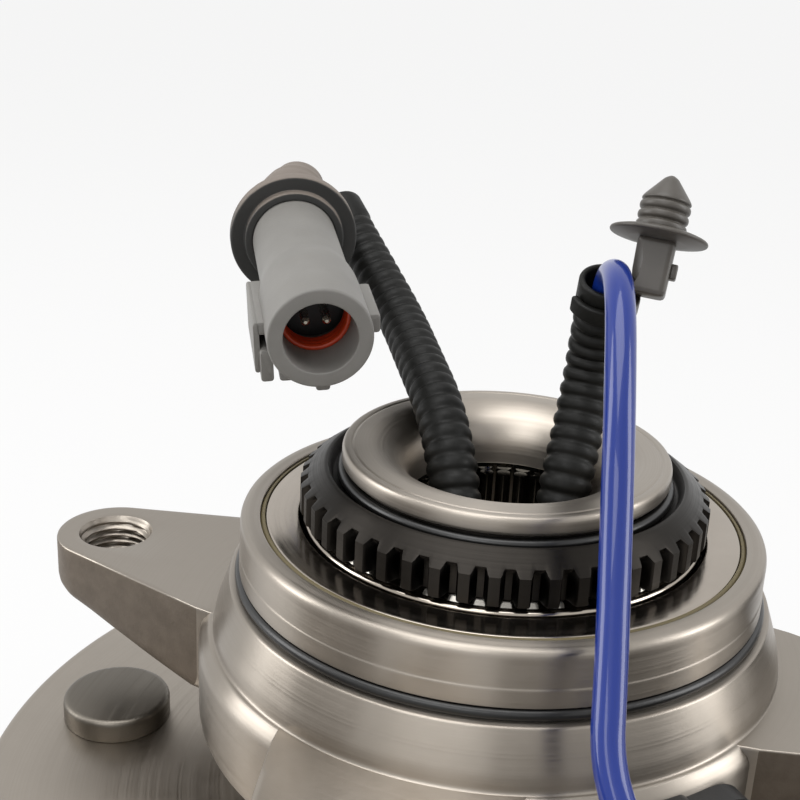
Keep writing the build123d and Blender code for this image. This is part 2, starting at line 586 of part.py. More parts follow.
def sensor_screw():
    """Hexagon-headed screw through the sensor's ear."""
    head = extrude(RegularPolygon(SCREW_HEAD_R, 6), SCREW_HEAD_H)
    shank = Cylinder(SCREW_R, SCREW_LEN - 1, align=FROM_TOP)
    return sensor_frame(SENSOR_FLAT_R + SENSOR_EAR_THICK) * Pos(SCREW_OFFSET, 0, 0) * (head + shank)


save(sensor_body(), "sensor_body")
save(sensor_frame(SENSOR_RING_R) * Torus(SENSOR_R - SENSOR_RING_WIRE_R, SENSOR_RING_WIRE_R), "sensor_o_ring")
save(sensor_screw(), "sensor_screw")


# ---------------------------------------------------------------- lead
# The lead leaves the sensor, climbs in front of the pilot, folds over in its clip, dives
# into the conduit, runs down through the bore, turns below the spindle inside the studs
# and comes back up the bore to the connector.
SPOUT_END = polar(SENSOR_FLAT_R + SENSOR_HEAD_LEN + SENSOR_SPOUT_LEN, SENSOR_AZ_DEG, TONE_Z)
FRONT_ROUTE = [SPOUT_END, (56.0, -56.0, TONE_Z), (55.0, -65.0, 0.5), (42.0, -65.0, 6.0),
               (33.0, -57.0, 14.0), (30.6, -47.8, 24.6), (27.4, -36.8, 37.0), (23.6, -25.3, 54.9),
               (18.8, -9.6, 69.9), (13.8, 5.4, 68.5), (12.4, 8.7, 59.6)]
CONDUIT_ROUTE = [(12.4, 8.7, 59.6), (11.5, 10.7, 54.2), (11.0, 10.9, 47.0), (10.9, 6.6, 38.0),
                 (10.9, -1.0, 27.5), (10.2, -1.2, 9.0), (9.2, 2.5, -8.0), (19.1, 7.4, -28.5),
                 (30.3, 11.7, -49.0), (27.2, 10.5, -71.5), (10.7, 4.1, -86.2), (-10.7, -4.1, -86.2),
                 (-27.1, -10.4, -72.0), (-30.6, -11.8, -49.5), (-20.1, -7.7, -29.0), (-8.6, -5.4, -10.0),
                 (-5.3, -8.2, 5.0), (-5.2, -7.8, 17.0), (-8.0, -3.8, 28.5), (-14.2, 5.0, 37.2),
                 (-23.4, 17.4, 41.7), (-31.0, 27.9, 45.2), (-40.6, 36.4, 51.8), (-50.1, 44.6, 58.5)]
TAIL_ROUTE = [(-50.1, 44.6, 58.5), (-56.3, 51.6, 63.2), (-65.0, 49.6, 66.3), (-59.3, 38.8, 67.6)]
BEND_SHARE = 0.45        # share of the shorter run that each arc may take


def cord_tube(route, radius, label):
    """A round tube along straight runs joined by tangent arcs; prints its bend radii."""
    points = [Vector(*p) for p in route]
    radii = []
    for before, here, after in zip(points, points[1:], points[2:]):
        come = here - before
        go = after - here
        half_turn = math.radians(come.get_angle(go)) / 2
        radii.append(BEND_SHARE * min(come.length, go.length) / math.tan(half_turn))
    path = FilletPolyline(*points, radius=radii)
    section = Plane(origin=path @ 0, z_dir=path % 0) * Circle(radius)
    tube = sweep(section, path=path)
    print(label, "length", round(path.length, 1), "volume / (section x length)",
          round(tube.volume / (math.pi * radius ** 2 * path.length), 4),
          "radii", [round(r, 1) for r in radii])
    return tube


def cuff(route, radius):
    """Plain hollow end of the conduit, from its last point outwards along the last run."""
    end, before = Vector(*route[0]), Vector(*route[1])
    at = Plane(origin=end, z_dir=end - before).location
    return at * (Cylinder(CONDUIT_CUFF_R, radius, align=FROM_BASE)
                 - Cylinder(CABLE_R + CUFF_GAP, radius, align=FROM_BASE))


save(cord_tube(FRONT_ROUTE, CABLE_R, "sensor_cable"), "sensor_cable")
conduit = cord_tube(CONDUIT_ROUTE, CONDUIT_R, "conduit")
conduit += cuff(CONDUIT_ROUTE, CONDUIT_CUFF_LEN) + cuff(CONDUIT_ROUTE[::-1], CONDUIT_CUFF_LEN)
save(conduit, "conduit")
save(cord_tube(TAIL_ROUTE, CABLE_R, "connector_cable"), "connector_cable")


# ---------------------------------------------------------------- connector
# Frame of the connector: origin at the centre of its mouth, Z out of the mouth.
CONN_MOUTH = (-27.5, -19.3, 55.5)
CONN_OUT = (0.515, -0.850, -0.112)
CONN_SIDE = (0.857, 0.511, 0.066)
CONNECTOR = Plane(origin=CONN_MOUTH, x_dir=CONN_SIDE, z_dir=CONN_OUT).location


def block(x0, x1, y0, y1, z0, z1):
    return Pos((x0 + x1) / 2, (y0 + y1) / 2, (z0 + z1) / 2) * Box(x1 - x0, y1 - y0, z1 - z0)


def connector_housing():
    """Round shell with a stepped neck, a latch ramp and rails along its sides."""
    back = -CONN_LEN - CONN_SPIGOT
    shell = turned([(0, back), (CONN_NECK_R - CONN_EDGE, back), (CONN_NECK_R, back + CONN_EDGE),
                    (CONN_NECK_R, -CONN_HEAD_LEN - CONN_STEP), (CONN_R, -CONN_HEAD_LEN),
                    (CONN_R, -CONN_EDGE / 2), (CONN_R - CONN_EDGE / 2, 0), (CONN_MOUTH_R, 0),
                    (CONN_MOUTH_R, -CONN_MOUTH_DEPTH), (0, -CONN_MOUTH_DEPTH)])
    inside = Pos(0, 0, -CONN_MOUTH_DEPTH) * Cylinder(CONN_MOUTH_R, CONN_MOUTH_DEPTH + 1, align=FROM_BASE)
    for x0, x1, y0, y1, z0, z1 in CONN_RAILS:
        shell += block(x0, x1, y0, y1, z0, z1)
    return CONNECTOR * (shell - inside)


def connector_seal():
    """Ribbed silicone seal ring inside the mouth."""
    out = CONN_MOUTH_R - PRESS_GAP
    inner = out - CONN_SEAL_WALL
    step = CONN_SEAL_LEN / CONN_SEAL_RIBS
    half = [(out, -CONN_SEAL_Z - CONN_SEAL_LEN), (out, -CONN_SEAL_Z)]
    for i in range(CONN_SEAL_RIBS):
        top = -CONN_SEAL_Z - i * step
        half += [(inner + CONN_SEAL_RIB_H, top), (inner, top - step * 0.35), (inner, top - step * 0.65),
                 (inner + CONN_SEAL_RIB_H, top - step * 0.98)]
    return CONNECTOR * turned(half)


def connector_insert():
    """Dark terminal carrier at the bottom of the mouth."""
    out = CONN_MOUTH_R - SLIP_GAP
    carrier = Pos(0, 0, -CONN_MOUTH_DEPTH) * Cylinder(out, CONN_MOUTH_DEPTH - CONN_INSERT_Z, align=FROM_BASE)
    for x in (-PIN_PITCH / 2, PIN_PITCH / 2):
        carrier -= Pos(x, 0, -CONN_MOUTH_DEPTH - 1) * Cylinder(PIN_R + PRESS_GAP, CONN_MOUTH_DEPTH, align=FROM_BASE)
    return CONNECTOR * carrier


def connector_pins():
    length = PIN_LEN + CONN_MOUTH_DEPTH - CONN_INSERT_Z
    pin = Cylinder(PIN_R, length - PIN_POINT, align=FROM_BASE) + Pos(0, 0, length - PIN_POINT) * Cone(
        PIN_R, PIN_R * 0.4, PIN_POINT, align=FROM_BASE)
    return CONNECTOR * Compound(children=[Pos(x, 0, -CONN_MOUTH_DEPTH) * pin
                                          for x in (-PIN_PITCH / 2, PIN_PITCH / 2)])


def grommet():
    """Rubber grommet on the neck: a dished flange, then a boot that bends and narrows."""
    front = GROMMET_Z
    back = front - GROMMET_THICK
    bore = CONN_NECK_R + SLIP_GAP
    flange = turned([(bore, back), (BOOT_R0, back), (GROMMET_R - GROMMET_SLOPE, back),
                     (GROMMET_R, back + GROMMET_SLOPE), (GROMMET_R, front - GROMMET_EDGE),
                     (GROMMET_R - GROMMET_EDGE, front), (GROMMET_R - 2 * GROMMET_EDGE, front),
                     (GROMMET_R - 3 * GROMMET_EDGE, front - GROMMET_DISH),
                     (bore + GROMMET_EDGE, front - GROMMET_DISH), (bore, front - GROMMET_SLOPE)])
    foot = CONNECTOR * Pos(0, 0, back) * Circle(BOOT_R0)
    out = Vector(*TAIL_ROUTE[-2]) - Vector(*TAIL_ROUTE[-1])
    waist_dir = out - Vector(*CONN_OUT).normalized() * out.length
    waist = Plane(origin=BOOT_WAIST, z_dir=waist_dir) * Circle(BOOT_WAIST_R)
    tip = Plane(origin=TAIL_ROUTE[-1], z_dir=out) * Circle(BOOT_R1)
    return CONNECTOR * flange + loft([foot, waist, tip])


def fir_tree_clip():
    """Push-in clip: a ribbed stem over a disc, and an open ring on a block that holds the conduit."""
    end = Vector(*CONDUIT_ROUTE[0])
    out = (end - Vector(*CONDUIT_ROUTE[1])).normalized()
    frame = Plane(origin=CLIP_ORIGIN, x_dir=CLIP_SIDE, z_dir=CLIP_UP)
    z = CLIP_DISC_T
    profile = [(0, -CLIP_DISC_DISH), (CLIP_DISC_R * 0.6, -CLIP_DISC_DISH), (CLIP_DISC_R, 0),
               (CLIP_DISC_R, CLIP_DISC_T / 2), (CLIP_DISC_R - CLIP_DISC_EDGE, z), (CLIP_SHANK_R, z)]
    for _ in range(CLIP_RIBS):
        profile += [(CLIP_RIB_R, z + CLIP_RIB_PITCH * 0.3), (CLIP_RIB_R, z + CLIP_RIB_PITCH * 0.8),
                    (CLIP_SHANK_R, z + CLIP_RIB_PITCH)]
        z += CLIP_RIB_PITCH
    profile += [(CLIP_RIB_R, z + CLIP_RIB_PITCH * 0.3), (CLIP_TIP_R, z + CLIP_TIP_LEN), (0, z + CLIP_TIP_LEN)]
    stem = turned(profile)
    wide, deep, tall = CLIP_BLOCK
    body = fillet(Box(wide, deep, tall, align=FROM_TOP).edges().filter_by(Axis.Z), CLIP_BLOCK_FILLET)
    # the ring opens away from the block, so the conduit snaps in sideways
    middle = end + out * (CONDUIT_CUFF_LEN - CLIP_RING_DROP)
    to_block = frame.from_local_coords(Vector(0, 0, -tall)) - middle
    along = Plane(origin=middle, x_dir=to_block - out * to_block.dot(out), z_dir=out).location
    hold_r = CONDUIT_CUFF_R + SLIP_GAP
    band = Cylinder(hold_r + CLIP_RING_WALL, CLIP_RING_LEN)
    opening = Rot(0, 0, CLIP_OPEN_DEG) * Box(4 * hold_r, 4 * hold_r, 2 * CLIP_RING_LEN, align=(
        Align.MAX, Align.CENTER, Align.CENTER))
    hole = Cylinder(hold_r, 6 * CLIP_RING_LEN)
    return frame.location * (stem + body) + along * (band - opening) - along * hole


save(fir_tree_clip(), "fir_tree_clip")
save(grommet(), "grommet")
save(connector_housing(), "connector_housing")
save(connector_seal(), "connector_seal")
save(connector_insert(), "connector_insert")
save(connector_pins(), "connector_pins")
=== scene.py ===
import math
import bpy
import numpy as np
from mathutils import Matrix, Vector


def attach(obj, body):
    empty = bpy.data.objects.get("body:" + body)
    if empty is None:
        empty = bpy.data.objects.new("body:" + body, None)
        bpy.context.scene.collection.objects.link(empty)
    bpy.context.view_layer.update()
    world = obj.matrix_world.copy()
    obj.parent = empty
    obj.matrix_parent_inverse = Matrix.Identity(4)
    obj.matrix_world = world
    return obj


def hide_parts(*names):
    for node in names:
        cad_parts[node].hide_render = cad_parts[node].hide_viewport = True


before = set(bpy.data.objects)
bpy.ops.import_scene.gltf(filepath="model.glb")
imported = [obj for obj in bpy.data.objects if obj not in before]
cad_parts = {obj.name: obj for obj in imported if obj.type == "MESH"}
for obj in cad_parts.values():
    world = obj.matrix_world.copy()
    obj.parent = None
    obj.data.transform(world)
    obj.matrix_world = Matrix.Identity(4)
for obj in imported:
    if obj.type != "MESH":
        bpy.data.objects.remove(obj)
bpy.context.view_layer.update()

# ---------------------------------------------------------------- camera
# The hub unit stands on its wheel studs with the clutch gear up. A 59 mm lens looks
# down on it by 21 degrees, from between two of its lobes.
camera = bpy.data.objects.new("camera", bpy.data.cameras.new("camera"))
camera.data.lens = 59.4
camera.data.clip_start = 0.01
across = (0.9300, 0.3646, 0.0465)
upward = (-0.1699, 0.3141, 0.9341)
forward = (-0.3259, 0.8766, -0.3541)
stand = (0.0566, -0.2070, 0.1233)
camera.matrix_world = Matrix([(across[i], upward[i], -forward[i], stand[i]) for i in range(3)]
                             + [(0, 0, 0, 1)])
bpy.context.scene.collection.objects.link(camera)
bpy.context.scene.camera = camera
bpy.context.scene.view_settings.view_transform = "Standard"

# ---------------------------------------------------------------- sensor lead
# Twin-core lead in a glossy blue polyurethane jacket, extruded, 4.8 mm across. It climbs
# from the speed sensor, folds over in its clip and dives into the conduit.
MM = 0.001
LEAD_R = 2.4 * MM
LEAD_BLUE = "#102D82"


def linear(code):
    """sRGB hex to linear: each channel c becomes ((c + 0.055) / 1.055) ^ 2.4, or c / 12.92 near black."""
    srgb = np.array([int(code[i:i + 2], 16) / 255 for i in (1, 3, 5)])
    rgb = np.where(srgb <= 0.04045, srgb / 12.92, ((srgb + 0.055) / 1.055) ** 2.4)
    return (*map(float, rgb), 1.0)


def material(name, colour, metallic, roughness, **sockets):
    """A new material; returns it, its tree and its shader, with plain values on the shader's own sockets."""
    made = bpy.data.materials.new(name)
    made.use_nodes = True
    shader = made.node_tree.nodes["Principled BSDF"]
    shader.inputs["Base Color"].default_value = linear(colour)
    shader.inputs["Metallic"].default_value = metallic
    shader.inputs["Roughness"].default_value = roughness
    for socket, value in sockets.items():
        shader.inputs[socket.replace("_", " ")].default_value = value
    return made, made.node_tree, shader


def add(tree, kind, inputs=None, **settings):
    """Adds one node: settings go on it, and each input gets a value or a link from another node's socket."""
    made = tree.nodes.new(kind)
    for name, value in settings.items():
        setattr(made, name, value)
    for key, value in (inputs or {}).items():
        if isinstance(value, bpy.types.NodeSocket):
            tree.links.new(value, made.inputs[key])
        else:
            made.inputs[key].default_value = value
    return made


def place(obj, stuff, body, node):
    """Gives a finished piece its material and its body, and hides the CAD node it stands for."""
    obj.data.materials.append(stuff)
    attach(obj, body)
    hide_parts(node)
    return obj


def spline(name, points_mm, radius=0.0, sides=12):
    """A round cord on one NURBS line whose control points are the route's points."""
    curve = bpy.data.curves.new(name, "CURVE")
    curve.dimensions = "3D"
    line = curve.splines.new("NURBS")
    line.points.add(len(points_mm) - 1)
    for point, at in zip(line.points, points_mm):
        point.co = (*(np.array(at) * MM), 1)
    line.order_u = 3
    line.use_endpoint_u = True
    line.resolution_u = 24
    curve.bevel_depth = radius
    curve.bevel_resolution = sides
    curve.use_fill_caps = radius > 0
    made = bpy.data.objects.new(name, curve)
    bpy.context.scene.collection.objects.link(made)
    return made


LEAD_ROUTE = [(49.14, -49.14, -7.5), (56.0, -56.0, -7.5), (55.0, -65.0, 0.5), (42.0, -65.0, 6.0),
              (33.0, -57.0, 14.0), (30.6, -47.8, 24.6), (27.4, -36.8, 37.0), (23.6, -25.3, 54.9),
              (18.8, -9.6, 69.2), (13.8, 5.4, 67.9), (12.4, 8.7, 59.6)]
jacket, tree, shader = material("blue_polyurethane_jacket", LEAD_BLUE, 0.0, 0.3, Specular_IOR_Level=0.2,
                                Coat_Weight=0.6, Coat_Roughness=0.05)
where = add(tree, "ShaderNodeTexCoord")
mottle = add(tree, "ShaderNodeTexNoise", {"Vector": where.outputs["Object"], "Scale": 260.0, "Detail": 3.0})
wave = add(tree, "ShaderNodeBump", {"Height": mottle.outputs["Fac"], "Strength": 0.05, "Distance": 0.0002})
tree.links.new(wave.outputs["Normal"], shader.inputs["Normal"])
lead = spline("sensor_lead", LEAD_ROUTE, LEAD_R)
place(lead, jacket, "knuckle_side", "sensor_cable")

TAIL_ROUTE = [(-50.1, 44.6, 58.5), (-56.6, 50.4, 61.0), (-64.8, 50.4, 62.8), (-59.3, 38.8, 67.6)]
tail = spline("connector_lead", TAIL_ROUTE, LEAD_R)
place(tail, jacket, "knuckle_side", "connector_cable")

# ---------------------------------------------------------------- conduit
# Corrugated nylon conduit over the lead, black, 9 mm across with a rib every 2.8 mm, blow
# moulded. Its ends are plain cuffs, and it is stored down through the bore.
RIB_PITCH = 2.8 * MM
RIB_R = 4.6 * MM
RIB_DEPTH = 0.5 * MM
CUFF_R = 4.8 * MM
CUFF_BORE = 3.7 * MM
CUFF_LEN = 6 * MM
CONDUIT_ROUTE = [
    (12.4, 8.7, 59.6), (11.5, 10.7, 54.2), (11.0, 10.9, 47.0), (10.9, 6.6, 38.0), (10.9, -1.0, 27.5),
    (10.2, -1.2, 9.0), (9.2, 2.5, -8.0), (19.1, 7.4, -28.5), (30.3, 11.7, -49.0), (27.2, 10.5, -71.5),
    (10.7, 4.1, -86.2), (-10.7, -4.1, -86.2), (-27.1, -10.4, -72.0), (-30.6, -11.8, -49.5),
    (-20.1, -7.7, -29.0), (-8.6, -5.4, -10.0), (-5.3, -8.2, 5.0), (-5.2, -7.8, 17.0), (-8.0, -3.8, 28.5),
    (-14.2, 5.0, 37.2), (-23.4, 17.4, 41.7), (-31.0, 27.9, 45.2), (-40.6, 36.4, 51.8), (-50.1, 44.6, 58.5)]


def line_of(points_mm):
    """The points of a NURBS line, as Blender draws it, in metres."""
    guide = spline("guide", points_mm)
    mesh = bpy.data.meshes.new_from_object(guide)
    line = np.zeros(len(mesh.vertices) * 3)
    mesh.vertices.foreach_get("co", line)
    curve = guide.data
    bpy.data.objects.remove(guide)
    bpy.data.curves.remove(curve)
    bpy.data.meshes.remove(mesh)
    return line.reshape(-1, 3)


def surface(name, points, wrap_rows=False, wrap_columns=True, sharp_deg=32):
    """A grid of points (rows, columns, 3) as one mesh of quads; either way of the grid may close on itself."""
    rows, columns = points.shape[:2]
    i = np.arange(rows if wrap_rows else rows - 1)[:, None]
    j = np.arange(columns if wrap_columns else columns - 1)[None, :]
    here, right = i * columns + j, i * columns + (j + 1) % columns
    above, far = (i + 1) % rows * columns + j, (i + 1) % rows * columns + (j + 1) % columns
    quads = np.stack([here, right, far, above], -1).reshape(-1, 4)
    mesh = bpy.data.meshes.new(name)
    mesh.vertices.add(rows * columns)
    mesh.vertices.foreach_set("co", points.reshape(-1).astype(np.float32))
    mesh.loops.add(quads.size)
    mesh.loops.foreach_set("vertex_index", quads.reshape(-1).astype(np.int32))
    mesh.polygons.add(len(quads))
    mesh.polygons.foreach_set("loop_start", np.arange(0, quads.size, 4, dtype=np.int32))
    mesh.update(calc_edges=True)
    mesh.validate()
    mesh.polygons.foreach_set("use_smooth", np.ones(len(mesh.polygons), bool))
    mesh.set_sharp_from_angle(angle=math.radians(sharp_deg))
    made = bpy.data.objects.new(name, mesh)
    bpy.context.scene.collection.objects.link(made)
    return made


def along_line(line, stations, radii, sides, still=(-0.358, 0.934, 0.0)):
    """A round section of each radius at each distance along a line. The section's axes are the line's cross
    products with one still direction, so it never twists."""
    length = np.concatenate([[0], np.cumsum(np.linalg.norm(np.diff(line, axis=0), axis=1))])
    heading = np.gradient(line, length, axis=0)
    at = np.stack([np.interp(stations, length, line[:, k]) for k in range(3)], 1)
    go = np.stack([np.interp(stations, length, heading[:, k]) for k in range(3)], 1)
    go /= np.linalg.norm(go, axis=1, keepdims=True)
    side = np.cross(go, still)
    side /= np.linalg.norm(side, axis=1, keepdims=True)
    other = np.cross(go, side)
    turn = np.linspace(0, 2 * np.pi, sides, endpoint=False)[None, :, None]
    ring = np.cos(turn) * side[:, None, :] + np.sin(turn) * other[:, None, :]
    return at[:, None, :] + np.asarray(radii)[:, None, None] * ring


middle = line_of(CONDUIT_ROUTE)
head = middle[0] + (middle[0] - middle[1]) / np.linalg.norm(middle[0] - middle[1]) * CUFF_LEN
foot = middle[-1] + (middle[-1] - middle[-2]) / np.linalg.norm(middle[-1] - middle[-2]) * CUFF_LEN
middle = np.vstack([head, middle, foot])
span = np.linalg.norm(np.diff(middle, axis=0), axis=1).sum()
ribs = int((span - 2 * CUFF_LEN) / RIB_PITCH)
phase = np.linspace(0, ribs, ribs * 8 + 1)
ribbed_s = CUFF_LEN * 1.15 + (span - 2.3 * CUFF_LEN) * phase / ribs
ribbed_r = RIB_R - RIB_DEPTH * (0.5 + 0.5 * np.cos(2 * np.pi * phase)) ** 2.2
lip = np.array([0.0, 0.15, 0.4, 1.0]) * MM
mouth_r = CUFF_R - np.array([0.35, 0.1, 0.0, 0.0]) * MM
bore_s = np.array([9.0, 9.0, 0.5, 0.1]) * MM
bore_r = np.array([0.01, 1, 1, 1.05]) * CUFF_BORE
cuff_s = np.array([CUFF_LEN * 0.96])
stations = np.concatenate([bore_s, lip, cuff_s, ribbed_s, span - cuff_s, span - lip[::-1], span - bore_s[::-1]])
radii = np.concatenate([bore_r, mouth_r, [CUFF_R], ribbed_r, [CUFF_R], mouth_r[::-1], bore_r[::-1]])
nylon, tree, shader = material("black_corrugated_nylon", "#11110F", 0.0, 0.5, Specular_IOR_Level=0.2)
where = add(tree, "ShaderNodeTexCoord")
dust = add(tree, "ShaderNodeTexNoise", {"Vector": where.outputs["Object"], "Scale": 900.0, "Detail": 4.0})
tone = add(tree, "ShaderNodeMapRange", {"Value": dust.outputs["Fac"], "From Min": 0.3, "From Max": 0.75,
                                        "To Min": 0.42, "To Max": 0.6})
tree.links.new(tone.outputs["Result"], shader.inputs["Roughness"])
conduit = surface("conduit_tube", along_line(middle, stations, radii, 36), sharp_deg=60)
place(conduit, nylon, "knuckle_side", "conduit")

# ---------------------------------------------------------------- outer ring
# One forging in bearing steel: pilot and shoulder turned and ground, the four lobes milled
# on top and left as forged and shot-blasted at their sides, each with an M14 thread.
THREAD_R = 7.0 * MM
THREAD_PITCH = 1.5 * MM
LOBE_AT = 80.85 * MM
LOBE_END_R = 11.7 * MM
LOBE_SUNK = 2.7 * MM
LOBE_ROOT = 42.85 * MM
BODY_R = 53.7 * MM
FORGED_R = 3.6 * MM
TAPER = math.radians(14.9)


def rounded(corners_mm, radius_mm, steps=5, closed=False):
    """An outline with each corner P replaced by the curve (1-t)^2 A + 2t(1-t) P + t^2 B, where A and B lie one
    radius before and after it, or half a side if that is less."""
    p = np.array(corners_mm, float) * MM
    size = np.broadcast_to(np.array(radius_mm, float) * MM, len(p))
    before, after = np.roll(p, 1, 0) - p, np.roll(p, -1, 0) - p
    back, on = np.linalg.norm(before, axis=1), np.linalg.norm(after, axis=1)
    a = p + before / np.maximum(back, 1e-9)[:, None] * np.minimum(size, back * 0.49)[:, None]
    b = p + after / np.maximum(on, 1e-9)[:, None] * np.minimum(size, on * 0.49)[:, None]
    t = np.linspace(0, 1, steps)[None, :, None]
    curve = (1 - t) ** 2 * a[:, None] + 2 * t * (1 - t) * p[:, None] + t ** 2 * b[:, None]
    if not closed:
        curve[0], curve[-1] = p[0], p[-1]
    return curve.reshape(-1, 2)


def lathe(name, outline, columns=256, closed=True, sharp_deg=32):
    """A turned piece: outline points (r, z) carried round Z, each at (r cos a, r sin a, z)."""
    turn = np.linspace(0, 2 * np.pi, columns, endpoint=False)
    r, z = outline[:, 0][:, None], outline[:, 1][:, None]
    points = np.stack([r * np.cos(turn), r * np.sin(turn), z + 0 * turn], -1)
    return surface(name, points, wrap_rows=closed, sharp_deg=sharp_deg)


def join(name, parts):
    """Several finished grids as one mesh."""
    bpy.ops.object.select_all(action="DESELECT")
    for part in parts:
        part.select_set(True)
    bpy.context.view_layer.objects.active = parts[0]
    bpy.ops.object.join()
    parts[0].name = parts[0].data.name = name
    parts[0].select_set(False)
    return parts[0]


RING_OUTLINE = [
    (42.85, 13.6), (42.85, 21.6), (46.35, 21.6), (46.35, 15.3), (46.5, 15.0), (46.5, 11.9), (45.6, 11.8),
    (45.6, 9.8), (48.2, 9.8), (50.8, 2.5), (51.0, -0.02), (51.9, -0.02), (53.7, -2.4), (53.7, -17.5),
    (46.0, -20.0), (46.0, -30.5), (42.4, -30.5), (42.4, -24.5), (41.2, -24.5), (41.2, -20.0),
    (36.9, -14.3), (36.9, 3.3), (41.2, 9.0), (41.2, 13.6)]
RING_ROUND = [0.2, 0.3, 1.4, 0.3, 0.3, 0.2, 0.3, 0.3, 0.4, 1.2, 0.9, 0.4, 1.2, 2.5, 3.0, 1.2, 0.4, 0.3, 0.3,
              3.0, 1.0, 1.0, 3.0, 0.3]
ring_body = lathe("ring_body", rounded(RING_OUTLINE, RING_ROUND, 6, closed=True), 256)


def thread(phase):
    """Height of a 60 degree thread, 0 at its root and 1 at its crest, with both a little flattened."""
    return np.clip(1.35 * (1 - np.abs(2 * (phase % 1.0) - 1)) - 0.17, 0, 1)


def lobe(turn_deg):
    """A lobe as rings about its bolt hole: threaded wall, milled top, outline and underside. The outline is a
    half circle at the tip, two straight tapering sides and an end inside the round body."""
    side = np.pi / 2 - TAPER
    a = np.linspace(0, side, 30)
    tip = LOBE_END_R * np.stack([np.cos(a), np.sin(a)], 1)
    travel = np.linspace(0, 60 * MM, 1200)[:, None]
    track = tip[-1] + travel * [-math.cos(TAPER), math.sin(TAPER)]
    inside = np.argmax(np.hypot(track[:, 0] + LOBE_AT, track[:, 1]) < BODY_R - LOBE_SUNK)
    root = np.array([LOBE_ROOT - LOBE_AT, 0])
    buried = track[inside] + np.linspace(0, 1, 40)[:, None] * (root - track[inside])
    half = np.vstack([tip[:-1], track[:inside:15], buried])
    theta = np.linspace(-np.pi, np.pi, 128, endpoint=False)
    edge = np.interp(np.abs(theta), np.arctan2(half[:, 1], half[:, 0]), np.linalg.norm(half, axis=1))
    flat, low = np.zeros_like(theta), np.full_like(theta, -13.3 * MM)
    rows = []
    wall = np.linspace(-13.0, -0.6, 72) * MM
    fade = np.clip((-0.6 * MM - wall) / (1.2 * MM), 0, 1)
    for depth, strength in zip(wall, fade):
        turned_phase = depth / THREAD_PITCH - theta / (2 * np.pi)
        rows.append((THREAD_R - 0.85 * MM * strength * thread(turned_phase), flat + depth))
    rows.append((flat + THREAD_R + 0.35 * MM, flat - 0.06 * MM))
    rows.append((flat + THREAD_R + 0.6 * MM, flat))
    for share in (0.3, 0.6, 0.9):
        rows.append((THREAD_R + 0.6 * MM + share * (edge - THREAD_R - 1.5 * MM), flat))
    for inset, depth in ((0.55, 0.0), (0.25, 0.08), (0.08, 0.25), (0.0, 0.55)):
        rows.append((edge - inset * MM, flat - depth * MM))
    hub_r = np.hypot(LOBE_AT + edge * np.cos(theta), edge * np.sin(theta))
    under = -np.interp(hub_r, [54 * MM, 93 * MM], [18.0 * MM, 11.0 * MM])
    for share in (0.3, 0.65):
        rows.append((edge, share * (under + FORGED_R)))
    for turn in np.radians([0, 18, 36, 54, 72, 90]):
        rows.append((edge - FORGED_R * (1 - math.cos(turn)), under + FORGED_R * (1 - math.sin(turn))))
    for share in (0.5, 0.25):
        r = THREAD_R + share * (edge - THREAD_R)
        hub = np.hypot(LOBE_AT + r * np.cos(theta), r * np.sin(theta))
        rows.append((r, -np.interp(hub, [54 * MM, 93 * MM], [18.0 * MM, 11.0 * MM])))
    rows.append((flat + THREAD_R + 0.8 * MM, low))
    r = np.array([row[0] for row in rows])
    z = np.array([row[1] for row in rows])
    x, y = LOBE_AT + r * np.cos(theta), r * np.sin(theta)
    c, s = math.cos(math.radians(turn_deg)), math.sin(math.radians(turn_deg))
    return surface(f"lobe_{turn_deg}", np.stack([c * x - s * y, s * x + c * y, z], -1), wrap_rows=True)


outer = join("outer_ring_forging", [ring_body] + [lobe(turn) for turn in (0, 90, 180, 270)])


